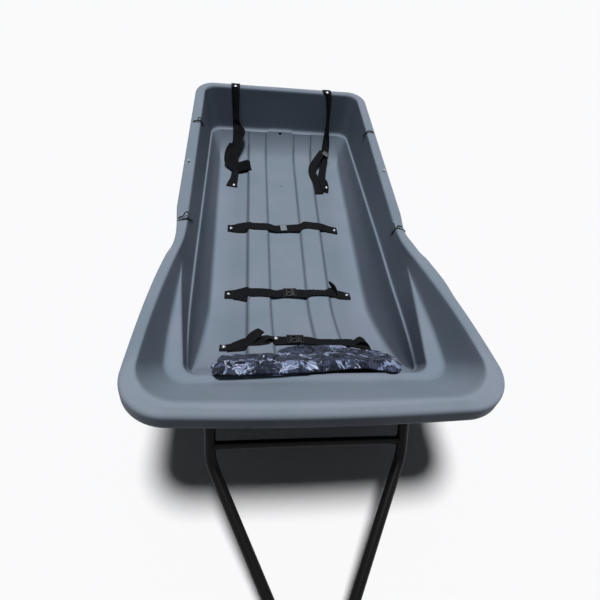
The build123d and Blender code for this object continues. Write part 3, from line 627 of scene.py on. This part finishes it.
def webbing(name, *strips):
    """One piece from several strips, each a row of knots: its middle, then half its width."""
    verts, faces, along, across = [], [], [], []
    shares = (-1, -0.9, -0.45, 0, 0.45, 0.9, 1)
    for strip in strips:
        run = through(strip, 7)
        middles = [Vector(k[:3]) for k in run]
        length = 0
        base = len(verts)
        for i, k in enumerate(run):
            middle, half = middles[i], Vector(k[3:])
            ahead = middles[min(i + 1, len(run) - 1)] - middles[max(i - 1, 0)]
            normal = ahead.cross(half).normalized()
            length += (middle - middles[i - 1]).length if i else 0
            ruck = noise.noise(middle / RUCK_LENGTH) * RUCK
            for side in (1, -1):
                for share in shares[::side]:
                    thick = side * WEB_THICK / 2 * (0.55 if abs(share) == 1 else 1)
                    lift = ruck * (1 - share * share) + CREASE * noise.noise(
                        middle / CREASE_LENGTH + half * share)
                    verts.append(spot(middle + half * share + normal * (thick + lift)))
                    along.append(length)
                    across.append(share * half.length)
        ring = 2 * len(shares)
        for i in range(len(run) - 1):
            a, b = base + i * ring, base + (i + 1) * ring
            faces += [(a + j, a + (j + 1) % ring, b + (j + 1) % ring, b + j) for j in range(ring)]
        faces += [tuple(range(base, base + ring))[::-1], tuple(range(len(verts) - ring, len(verts)))]
    piece = solid_piece(name + "_webbing", verts, faces)
    for note, values in (("along", along), ("across", across)):
        piece.data.attributes.new(note, "FLOAT", "POINT").data.foreach_set("value", values)
    dress(piece, weave.material)
    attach(piece, "sled")
    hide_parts(name)
    return piece


weave = Finish("black_webbing", Specular_IOR_Level=0.1)
rib_place, edge_place = weave.noted("along"), weave.noted("across")
picks = (rib_place + edge_place.wave(6) * 0.35).wave(2.6)
ends = edge_place.wave(3.2)
cloth = picks * 0.7 + ends * 0.5
fuzz = weave.grain(700, 2)
selvedge = abs(edge_place).ease(21, 23)
yarn = weave.mix((cloth * 0.3 + 0.4 + selvedge * 0.2).at_most(1).at_least(0),
                 paint(8, 9, 13), paint(29, 30, 33))
yarn = weave.mix(fuzz.ease(0.5, 0.75) * 0.3, yarn, paint(43, 42, 43))
weave.coat(yarn, 0.75 + fuzz * 0.15, cloth + fuzz * 0.6, 0.0005, 0.7)


def lying(*knots):
    """Knots of a strap across the floor from x, station, lift and tilt, bow edge up."""
    rows = []
    for x, station, lift, tilt in knots:
        fall = atan2(deck(0, station + 12) - deck(0, station - 12), 24) + radians(tilt)
        rows.append((x, station, deck(0, station) + lift, 0, WEB / 2 * cos(fall), WEB / 2 * sin(fall)))
    return rows


webbing(
    "cross_strap_tail",
    lying((-280, 794, 3, 8), (-255, 796, 3, 3), (-231, 791, 5, -4), (-196, 788, 11, -6), (-174, 786, 16, 0),
          (-156, 789, 17, 6), (-118, 790, 17, 6), (-85, 790, 17, 5), (-62, 793, 12, 4), (-41, 796, 8, 4),
          (0, 793, 9, 1), (22, 791, 9, 0), (58, 790, 13, 0), (81, 789, 17, -2), (99, 775, 18, -3),
          (126, 771, 17, 2), (160, 776, 17, 0), (184, 778, 15, -2), (205, 777, 9, 1), (229, 783, 5, 3),
          (270, 792, 3, 6)),
    lying((-262, 798, 2, 0), (-232, 802, 3, -2), (-205, 802, 6, -4), (-186, 798, 10, -2), (-176, 790, 13, 3)))
webbing(
    "cross_strap_middle",
    lying((-279, 1216, 3, 12), (-262, 1216, 3, 8), (-240, 1216, 4, 3), (-205, 1211, 8, -6),
          (-182, 1208, 14, -4), (-165, 1214, 17, 5), (-123, 1213, 17, 7), (-84, 1216, 17, 7),
          (-60, 1216, 11, 12), (-38, 1212, 8, 9), (-16, 1209, 8, 4), (28, 1211, 9, 3), (58, 1214, 13, 6),
          (79, 1218, 17, 10), (100, 1210, 18, 14), (140, 1207, 17, 15), (173, 1208, 17, 12),
          (190, 1203, 13, 2), (206, 1204, 9, -6), (228, 1212, 5, 6), (277, 1216, 3, 14)),
    lying((-242, 1221, 2, 0), (-216, 1226, 4, -3), (-194, 1232, 7, -8), (-180, 1234, 9, -4),
          (-169, 1225, 13, 4)),
    [(214, 1204, 10, 4, 20, 3), (205, 1190, 22, 12, 13, 3), (194, 1177, 36, 13, 6, 0),
     (187, 1168, 44, 7, 4, -2)])
webbing(
    "cross_strap_bow",
    lying((-281, 1553, 3, 6), (-262, 1553, 3, 5), (-244, 1551, 5, 2), (-216, 1541, 10, -7),
          (-190, 1534, 17, -10), (-165, 1531, 20, -3), (-138, 1530, 19, -2), (-99, 1521, 18, -6),
          (-70, 1515, 12, -5), (-36, 1513, 9, -4), (0, 1513, 9, -3), (38, 1513, 10, -2), (62, 1518, 13, 0),
          (85, 1532, 18, 0), (130, 1535, 18, 1), (181, 1534, 17, 0), (204, 1530, 11, -2), (220, 1528, 8, -2),
          (236, 1536, 7, 0), (262, 1540, 6, -3), (282, 1547, 4, -3)),
    lying((-252, 1558, 2, 0), (-226, 1554, 4, -4), (-200, 1550, 9, -9), (-180, 1542, 15, -10),
          (-166, 1534, 17, -5)),
    [(-196, 1543, 116, 4, 22, 2), (-178, 1534, 124, 9, 19, 3), (-160, 1514, 128, 14, 15, 3),
     (-142, 1496, 127, 14, 12, 1), (-127, 1482, 123, 12, 9, 0)],
    [(-136, 1530, 108, 4, 22, 8), (-112, 1512, 118, 6, 16, 10), (-88, 1508, 112, 3, 14, 10),
     (-70, 1516, 98, 0, 18, 9), (-46, 1516, 93, 0, 22, 8)],
    [(214, 1536, 96, -2, 23, 8), (232, 1528, 106, -4, 22, 10), (248, 1520, 118, -3, 20, 13),
     (264, 1524, 120, 0, 19, 13), (277, 1537, 116, 3, 20, 11), (285, 1549, 106, 3, 20, 9)],
    [(226, 1550, 99, 0, 20, 9), (248, 1551, 110, 0, 21, 11), (266, 1552, 118, 0, 21, 11),
     (280, 1553, 119, 0, 20, 10), (290, 1555, 106, 0, 18, 9)])
webbing(
    "tail_strap_left",
    [(-254, 8, 336, 23, 0, 0), (-254, 24, 338, 24, 0, 0), (-254, 47, 339, 23, 0, 0),
     (-254, 56, 326, 21, 4, 0), (-254, 68, 280, 20, 8, 0), (-254, 82, 215, 18, 11, 0),
     (-252, 95, 180, 18, 9, -2), (-244, 101, 152, 22, 6, 0), (-232, 119, 132, 27, 2, 5),
     (-230, 137, 112, 28, 4, 7), (-244, 164, 88, 27, 8, 8), (-260, 193, 66, 27, 10, 8),
     (-268, 225, 48, 27, 8, 8), (-262, 259, 32, 24, 4, 10), (-255, 296, 22, 20, 2, 12),
     (-255, 339, 13, 19, 2, 10), (-258, 391, 8, 21, 2, 6), (-266, 436, 5, 26, 4, 2),
     (-270, 468, 4, 30, 6, 0)],
    [(-254, 88, 158, 17, 9, -2), (-252, 122, 130, 17, 6, 2), (-252, 152, 98, 18, 4, 6),
     (-258, 188, 70, 18, 4, 8)],
    [(-244, 330, 30, 2, -18, 19), (-219, 329, 36, 2, -18, 20), (-197, 321, 40, 2, -17, 21),
     (-176, 316, 36, -3, -17, 20), (-167, 316, 28, -6, -18, 18), (-180, 315, 19, -2, -20, 14),
     (-211, 320, 14, 0, -21, 12), (-236, 330, 12, 0, -21, 12)],
    [(-272, 170, 76, -17, 8, 6), (-288, 200, 60, -19, 10, 5), (-298, 238, 46, -18, 14, 0),
     (-299, 270, 34, -14, 18, -6), (-286, 294, 24, -6, 20, -8), (-265, 320, 15, -4, 20, -4)])
webbing(
    "tail_strap_right",
    [(248, 8, 336, 23, 0, 0), (248, 24, 338, 24, 0, 0), (250, 47, 339, 23, 3, 0), (256, 58, 316, 18, 14, 0),
     (264, 74, 258, 10, 21, 0), (269, 90, 200, 6, 23, 1), (271, 106, 152, 8, 22, 3),
     (271, 118, 114, 14, 16, 6), (270, 139, 86, 19, 8, 9), (267, 166, 62, 21, 4, 10),
     (262, 203, 46, 18, 3, 12), (254, 249, 30, 20, 0, 13), (243, 304, 22, 20, 3, 12),
     (233, 358, 16, 20, 6, 12), (228, 410, 11, 21, 6, 8), (226, 452, 8, 22, 6, 4)],
    [(254, 174, 56, 16, 20, 4), (224, 218, 44, 16, 19, 4), (198, 264, 34, 17, 18, 2),
     (182, 304, 28, 20, 10, 0), (181, 346, 24, 20, -6, 3), (193, 400, 19, 21, -8, 3),
     (205, 456, 12, 22, -4, 2), (208, 502, 5, 24, -4, 0)],
    [(226, 392, 26, 16, 4, 8), (234, 430, 30, 20, 5, 8), (239, 464, 22, 21, 6, 4), (238, 484, 10, 21, 6, 0)])

# ---------------------------------------------------------------- buckles
# Moulded black side-release buckles on the middle and bow straps, a small grey slider
# on the tail strap and a grey-green one on the right hanging strap.
def blocks(name, node_name, boxes, place, turn=0.0):
    """Rounded boxes in one piece, each from its middle and its size along, across and up."""
    shape = bmesh.new()
    for middle, size, rounding in boxes:
        made = bmesh.ops.create_cube(shape, size=1)["verts"]
        bmesh.ops.scale(shape, vec=size, verts=made)
        bmesh.ops.translate(shape, vec=middle, verts=made)
        edges = {e for v in made for e in v.link_edges}
        bmesh.ops.bevel(shape, geom=list(edges), offset=rounding, segments=3, profile=0.6, affect="EDGES")
    x, station, height = place
    fall = atan2(deck(0, station + 12) - deck(0, station - 12), 24)
    lay = (Matrix.Translation(spot(place)) @ Matrix.Rotation(-fall, 4, "X") @ Matrix.Rotation(turn, 4, "Z")
           @ Matrix.Scale(0.001, 4))
    bmesh.ops.transform(shape, matrix=lay, verts=shape.verts)
    mesh = bpy.data.meshes.new(name)
    shape.to_mesh(mesh)
    shape.free()
    mesh.shade_smooth()
    piece = add_piece(name, mesh)
    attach(piece, "sled")
    if node_name:
        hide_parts(node_name)
    return piece


def moulded(name, dark, light):
    finish = Finish(name, Specular_IOR_Level=0.3)
    skin = finish.grain(1200, 2)
    return finish.coat(finish.mix(skin.ease(0.35, 0.7), dark, light), 0.32 + skin * 0.15, skin, 0.00012, 0.5)


black_plastic = moulded("black_buckle", paint(12, 12, 14), paint(20, 20, 22))
grey_plastic = moulded("grey_buckle", paint(120, 126, 136), paint(142, 148, 158))
green_plastic = moulded("grey_green_buckle", paint(68, 74, 69), paint(82, 88, 82))


def rails(x, length):
    return [((x, side * 25, 5), (length, 5, 8), 1.5) for side in (1, -1)]


side_release = [
    ((12, 0, 6), (26, 48, 11), 3), ((12, 0, 11.5), (16, 30, 2), 0.8), ((31, 0, 5), (5, 54, 7), 2),
    *rails(26, 14), ((-17, 0, 6), (12, 40, 9), 2.5), ((-7, 0, 6), (14, 14, 8), 1.5),
    ((-31, 0, 5), (5, 54, 7), 2), ((-24.5, 0, 4), (4, 52, 5), 1.5), *rails(-25, 16),
    *[((-5, side * 23.5, 6), (22, 6, 8), 2.5) for side in (1, -1)]]
slider = [((x, 0, 4), (3.6, 32, 4), 1.2) for x in (-10, -3.4, 3.4, 10)] + [
    ((0, side * 16, 4), (25, 4, 6), 1.5) for side in (1, -1)] + [((0, 0, 3), (20, 30, 2), 0.5)]


def sized(boxes, along, across, up):
    """The same rounded boxes in another size."""
    size = Vector((along, across, up))
    return [(Vector(middle) * size, Vector(extent) * size, rounding) for middle, extent, rounding in boxes]


for name, cad_node, boxes, place, turn, finish in (
        ("tail_slider", "buckle_tail", sized(slider, 1.3, 1.25, 1.1), (-4, 791, deck(0, 791) + 9), 0.1,
         grey_plastic),
        ("middle_buckle", "buckle_middle", sized(side_release, 0.85, 0.86, 0.8), (6, 1209, deck(0, 1209) + 8),
         0.04, black_plastic),
        ("bow_buckle", "buckle_bow", side_release, (2, 1513, deck(0, 1513) + 9), -0.03, black_plastic),
        ("hanging_slider", None, slider, (265, 206, 58), 0.9, green_plastic)):
    dress(blocks(name, cad_node, boxes, place, turn), finish)

# ---------------------------------------------------------------- rivets and studs
# Domed aluminium blind rivets on washers through the webbing, and a white plastic stud
# on each side rim.
def heads(name, places, profile, material, node_name):
    """Turned heads, each from its place and the way it faces."""
    verts, faces = [], []
    turns = 20
    for place, facing in places:
        lean = Vector((0, 0, 1)).rotation_difference(Vector(facing))
        base = len(verts)
        for radius, height in profile:
            for i in range(turns):
                angle = 2 * pi * i / turns
                around = Vector((radius * cos(angle), radius * sin(angle), height))
                verts.append(spot(place) + lean @ around / 1000)
        for r in range(len(profile) - 1):
            for i in range(turns):
                a, b = base + r * turns, base + (r + 1) * turns
                faces.append((a + i, a + (i + 1) % turns, b + (i + 1) % turns, b + i))
        faces += [tuple(range(base, base + turns)), tuple(range(len(verts) - turns, len(verts)))]
    piece = solid_piece(name, verts, faces)
    dress(piece, material)
    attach(piece, "sled")
    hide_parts(node_name)
    return piece


aluminium = Finish("aluminium", Metallic=0.85, Specular_IOR_Level=0.5)
scratch = aluminium.grain(600, 3)
aluminium.coat(aluminium.mix(scratch.ease(0.3, 0.8), paint(172, 176, 182), paint(204, 207, 212)),
               0.28 + scratch * 0.2, scratch, 0.0001, 0.4)
dome = [(8, -1), (8, 0.6), (7.4, 1.1), (5.4, 1.3), (5.2, 2.4), (4.4, 3.6), (3, 4.5), (1.6, 4.9), (1, 4.9),
        (0.8, 4.2)]
up, off_ramp = (0, 0, 1), (0, -0.4, 0.92)
heads("rivet_heads",
      [((-254, 46, 341), up), ((249, 46, 341), up), ((-258, 456, 6), up), ((247, 470, 26), up),
       ((-264, 795, deck(-264, 795) + 4), up), ((257, 789, deck(257, 789) + 4), up),
       ((-263, 1216, deck(-263, 1216) + 4), (0, -0.1, 1)), ((264, 1214, deck(264, 1214) + 4), up),
       ((-266, 1553, deck(0, 1553) + 5), off_ramp), ((276, 1549, deck(0, 1548) + 4), off_ramp),
       ((-72, 1508, deck(0, 1508) + 15), off_ramp)],
      dome, aluminium.material, "strap_rivets")
white_plastic = moulded("white_stud", paint(178, 184, 192), paint(196, 201, 208))
button = [(5.5, -1), (5.5, 0.4), (4.6, 1.3), (2.8, 1.9), (1, 2.1)]
heads("rim_stud_heads", [((side * 441, 736, SIDE + 1), up) for side in (1, -1)], button, white_plastic,
      "rim_studs")

# ---------------------------------------------------------------- cord loops
# Black braided cord lashed tightly round the rim through a hole in the wall, twice a side;
# the loose ends of three of them stand up in small bows.
def cords(name, runs, radius, material):
    """Round cords along rows of knots; a run that ends where it starts is closed."""
    verts, faces, along = [], [], []
    sides = 8
    for knots in runs:
        run = [Vector(p) for p in through(knots, 6)]
        base, length = len(verts), 0
        for i, p in enumerate(run):
            ahead = (run[min(i + 1, len(run) - 1)] - run[max(i - 1, 0)]).normalized()
            across = ahead.cross(Vector((0.13, 0.97, 0.2))).normalized()
            rise_way = ahead.cross(across)
            length += (p - run[i - 1]).length if i else 0
            for j in range(sides):
                angle = 2 * pi * j / sides
                verts.append(spot(p + (across * cos(angle) + rise_way * sin(angle)) * radius))
                along.append(length)
        for i in range(len(run) - 1):
            a, b = base + i * sides, base + (i + 1) * sides
            faces += [(a + j, a + (j + 1) % sides, b + (j + 1) % sides, b + j) for j in range(sides)]
        faces += [tuple(range(base, base + sides)), tuple(range(len(verts) - sides, len(verts)))]
    piece = solid_piece(name, verts, faces)
    piece.data.attributes.new("along", "FLOAT", "POINT").data.foreach_set("value", along)
    dress(piece, material)
    return piece


braid = Finish("braided_cord", Specular_IOR_Level=0.3)
strand = (braid.noted("along") + braid.grain(300, 1) * 2).wave(3)
braid.coat(braid.mix(strand * 0.5 + 0.5, paint(14, 15, 18), paint(42, 43, 46)), 0.8 + strand * 0.05,
           strand, 0.0004, 0.6)


def lashing(*over):
    """Over the rim from its hole to the hole in the wall, then back underneath."""
    side = 1 if over[0][0] > 0 else -1
    return [*over, (side * 424, over[-1][1], 303), (side * 444, over[0][1], 310), over[0]]


lashings = cords("rim_lashings", [
    lashing((-448, 409, 325), (-446, 409, 333), (-433, 414, 339), (-421, 418, 343), (-411, 412, 336),
            (-405, 400, 318), (-403, 397, 310), (-412, 394, 302)),
    lashing((-447, 1121, 325), (-444, 1120, 333), (-433, 1120, 338), (-422, 1121, 343), (-412, 1115, 341),
            (-408, 1104, 328), (-405, 1080, 302), (-403, 1060, 286), (-412, 1052, 280)),
    lashing((451, 409, 325), (446, 409, 333), (430, 413, 340), (417, 421, 343), (409, 416, 329),
            (404, 406, 308), (413, 402, 300)),
    lashing((453, 1135, 325), (449, 1135, 332), (432, 1133, 339), (418, 1135, 343), (410, 1133, 332),
            (405, 1134, 321), (403, 1134, 312), (413, 1134, 304))], 3.1, braid.material)
bows = cords("cord_bows", [
    [(-421, 417, 346), (-425, 404, 345), (-418, 398, 348), (-411, 402, 347), (-412, 417, 344)],
    [(-447, 1107, 332), (-441, 1105, 338), (-431, 1107, 343), (-425, 1102, 347), (-421, 1095, 351),
     (-412, 1091, 353), (-406, 1103, 347), (-414, 1118, 344), (-421, 1121, 346)],
    [(416, 1137, 346), (407, 1135, 345), (404, 1122, 348), (403, 1113, 351)],
    [(416, 1133, 345), (422, 1120, 343), (438, 1115, 337), (444, 1118, 330)]], 2.4, braid.material)
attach(bows, "sled")
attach(lashings, "sled")
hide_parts("rim_cord_loops")

# ---------------------------------------------------------------- pad
# Thin loose mat of fleece-faced foam in a navy camouflage print, lying on the bow's ramp
# with its front edge bent over onto the shelf.
TAIL_EDGE = [(-288, 1700), (-284, 1668), (-270, 1620), (-239, 1612), (-178, 1624), (-140, 1636),
             (-91, 1626), (-67, 1578), (-34, 1556), (19, 1549), (90, 1558), (167, 1568), (195, 1576),
             (229, 1588), (265, 1592), (296, 1600), (318, 1612), (331, 1650)]
FRONT_EDGE = [(-288, 1775), (-282, 1815), (-264, 1831), (-159, 1829), (-32, 1822), (60, 1812), (127, 1800),
              (166, 1797), (202, 1806), (250, 1817), (272, 1811), (292, 1771), (314, 1725), (331, 1690)]
PAD_LEFT, PAD_RIGHT, PAD_THICK, PAD_HEM, PAD_GAP, PAD_LUMP = -288, 331, 14, 8, 2, 4
# how far the stiff mat reaches over a hollow before it bends down into it, and its slope there
BRIDGE, BRIDGE_SLOPE, HOLLOW = (-36, -18, 0, 18, 36), 0.5, 8


def edge_at(line, x):
    return float(np.interp(x, [p[0] for p in line], [p[1] for p in line]))


def coordinates(piece):
    return np.array([v.co for v in piece.data.vertices])


def build_pad():
    """The mat as a slab over the tub, which it bridges where the tub is hollow."""
    wide, deep = 96, 40
    xs = [PAD_LEFT + (PAD_RIGHT - PAD_LEFT) * i / wide for i in range(wide + 1)]
    shares = [j / deep for j in range(deep + 1)]
    stations = np.array([[edge_at(TAIL_EDGE, x) + (edge_at(FRONT_EDGE, x) - edge_at(TAIL_EDGE, x)) * share
                          for share in shares] for x in xs])
    tub_height = np.array([[deck(x, station) for station in row] for x, row in zip(xs, stations)])
    bed = np.array([[max(max(deck(x, s + d), deck(0, s + d) + HOLLOW) - abs(d) * BRIDGE_SLOPE for d in BRIDGE)
                     for s in row] for x, row in zip(xs, stations)])
    for _ in range(5):
        padded = np.pad(bed, 1, mode="edge")
        bed = (padded[:-2, 1:-1] + padded[2:, 1:-1] + padded[1:-1, :-2] + padded[1:-1, 2:] + 2 * bed) / 6
    bed = np.maximum(bed, tub_height + 1) + PAD_GAP
    verts, faces = [], []
    for top in (1, 0):
        for i, x in enumerate(xs):
            for j, station in enumerate(stations[i]):
                lumps = PAD_LUMP * noise.noise(Vector((x / 75, station / 60, 3)))
                front, side = 1 - (2 * shares[j] - 1) ** 8, 1 - (2 * i / wide - 1) ** 12
                rim = (max(0, front) * max(0, side)) ** 0.5
                thick = PAD_HEM + rim * (PAD_THICK - PAD_HEM + lumps)
                verts.append(spot((x, station, bed[i][j] + top * thick)))
    row, layer = deep + 1, (wide + 1) * (deep + 1)
    for i in range(wide):
        for j in range(deep):
            a = i * row + j
            faces.append((a, a + 1, a + row + 1, a + row))
            faces.append((layer + a, layer + a + row, layer + a + row + 1, layer + a + 1))
    edge = [i * row for i in range(wide + 1)]
    edge += [wide * row + j for j in range(1, row)]
    edge += [i * row + row - 1 for i in range(wide - 1, -1, -1)]
    edge += list(range(row - 2, 0, -1))
    faces += [(a, b, b + layer, a + layer) for a, b in zip(edge, edge[1:] + edge[:1])]
    return solid_piece("camouflage_pad", verts, faces)


def puff(piece, voxel, pressure, reach):
    """Let the air in a soft piece swell it by at most this reach, in metres."""
    remesh = piece.modifiers.new("remesh", "REMESH")
    remesh.mode = "VOXEL"
    remesh.voxel_size = voxel
    settle(piece)
    start = coordinates(piece)
    cloth = piece.modifiers.new("cloth", "CLOTH").settings
    cloth.use_pressure = True
    cloth.uniform_pressure_force = pressure
    cloth.effector_weights.gravity = 0
    for step in range(1, 21):
        bpy.context.scene.frame_set(step)
    settle(piece)
    bpy.context.scene.frame_set(1)
    shift = coordinates(piece) - start
    far = np.maximum(np.linalg.norm(shift, axis=1, keepdims=True) / reach, 1)
    piece.data.vertices.foreach_set("co", (start + shift / far).ravel())


pad = build_pad()
puff(pad, 0.0055, 4, 0.006)
for vertex in pad.data.vertices:
    below = surface.ray_cast(vertex.co + Vector((0, 0, 0.06)), Vector((0, 0, -1)))[0]
    if below:
        vertex.co.z = max(vertex.co.z, below.z + PAD_GAP / 1000)
soft = pad.modifiers.new("soft", "SUBSURF")
soft.levels = 1
settle(pad)
pad.data.shade_smooth()
fleece = Finish("camouflage_fleece", Specular_IOR_Level=0.15, Sheen_Weight=0.05)
laid = fleece.node("ShaderNodeVectorMath", {"operation": "MULTIPLY"}, {0: fleece.place(), 1: (1, 0.7, 0.7)})
blotch = fleece.grain(30, 4, 0.6, laid, 0.5)
second = fleece.grain(55, 3, 0.6, laid, 0.8)
patch = fleece.grain(20, 4, 0.55, laid, 0.5)
wisp = fleece.grain(24, 1, 0.4, laid, 0.9)
pile = fleece.grain(1500, 2, 0.7)
tint = fleece.mix(blotch.ease(0.46, 0.54), paint(31, 38, 52), paint(62, 70, 90))
tint = fleece.mix(1 - second.ease(0.38, 0.43), tint, paint(18, 20, 29))
tint = fleece.mix(second.ease(0.58, 0.62), tint, paint(82, 92, 118))
tint = fleece.mix(blotch.ease(0.6, 0.64) * 0.7, tint, paint(66, 58, 70))
tint = fleece.mix(patch.ease(0.56, 0.59) * (0.65 + second.ease(0.4, 0.6) * 0.3), tint, paint(144, 158, 194))
strokes = wisp.near(0.5, 0.028) * patch.ease(0.5, 0.55)
tint = fleece.mix(strokes, tint, paint(208, 219, 242))
tint = fleece.mix(pile.ease(0.3, 0.8) * 0.2, tint, paint(30, 32, 46))
fleece.coat(tint, 0.92, pile + fleece.grain(500, 2) * 0.8, 0.0006, 0.6)
backing = Finish("black_backing", Specular_IOR_Level=0.2)
nap = backing.grain(900, 2)
backing.coat(backing.mix(nap, paint(8, 8, 11), paint(20, 20, 24)), 0.85, nap, 0.0004, 0.6)
dress(pad, fleece.material)
pad.data.materials.append(backing.material)
for face in pad.data.polygons:
    face.material_index = int(face.normal.z < 0.05)
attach(pad, "sled")
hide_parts("bow_pad")

# ---------------------------------------------------------------- drawbar
# Bent steel tubes with a welded cross tube and tow plate, sprayed black, on zinc-plated
# pins; weld beads run round the cross tube's ends.
enamel = Finish("black_paint", Specular_IOR_Level=0.1)
peel = enamel.grain(260, 2)
chips = enamel.grain(45, 4, 0.7).ease(0.7, 0.74)
shade = enamel.mix(peel.ease(0.3, 0.8), paint(6, 6, 8), paint(13, 13, 15))
enamel.coat(enamel.mix(chips * 0.5, shade, paint(70, 66, 62)), 0.3 + peel * 0.16, peel, 0.0002, 0.5)
zinc = Finish("zinc", Metallic=0.9)
spangle = zinc.grain(300, 3)
zinc.coat(zinc.mix(spangle, paint(150, 152, 156), paint(190, 191, 193)), 0.35 + spangle * 0.2)
for name, piece in node.items():
    if name.startswith(("drawbar", "tow", "hinge_bracket")):
        dress(piece, enamel.material)
    elif name in ("hinge_pins", "bracket_bolts"):
        dress(piece, zinc.material)
cross_low, cross_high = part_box("drawbar_cross_tube")
cross_middle, cross_half = (cross_low + cross_high) / 2, (cross_high - cross_low) / 2
beads = bmesh.new()


def bead(middle, axis, radius, thick):
    """Wavy ring of weld round an axis."""
    turn = Vector((0, 0, 1)).rotation_difference(Vector(axis)).to_matrix()
    around, sides = 48, 8
    rings = []
    for i in range(around):
        angle = 2 * pi * i / around
        way = turn @ Vector((cos(angle), sin(angle), 0))
        size = thick * (1 + 0.18 * sin(angle * 16))
        ring = []
        for j in range(sides):
            turn_in = 2 * pi * j / sides
            ring.append(beads.verts.new(
                Vector(middle) + way * (radius + size * cos(turn_in)) + Vector(axis) * size * sin(turn_in)))
        rings.append(ring)
    for a, b in zip(rings, rings[1:] + rings[:1]):
        for j in range(sides):
            beads.faces.new((a[j], a[(j + 1) % sides], b[(j + 1) % sides], b[j]))


BEAD, BEAD_INSET = 0.0035, 0.002
for side in (1, -1):
    bead(cross_middle + Vector((side * (cross_half.x - BEAD_INSET), 0, 0)), (1, 0, 0), cross_half.z, BEAD)
bead_mesh = bpy.data.meshes.new("weld_beads")
beads.to_mesh(bead_mesh)
beads.free()
bead_mesh.shade_smooth()
weld = add_piece("weld_beads", bead_mesh)
dress(weld, enamel.material)
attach(weld, "drawbar")
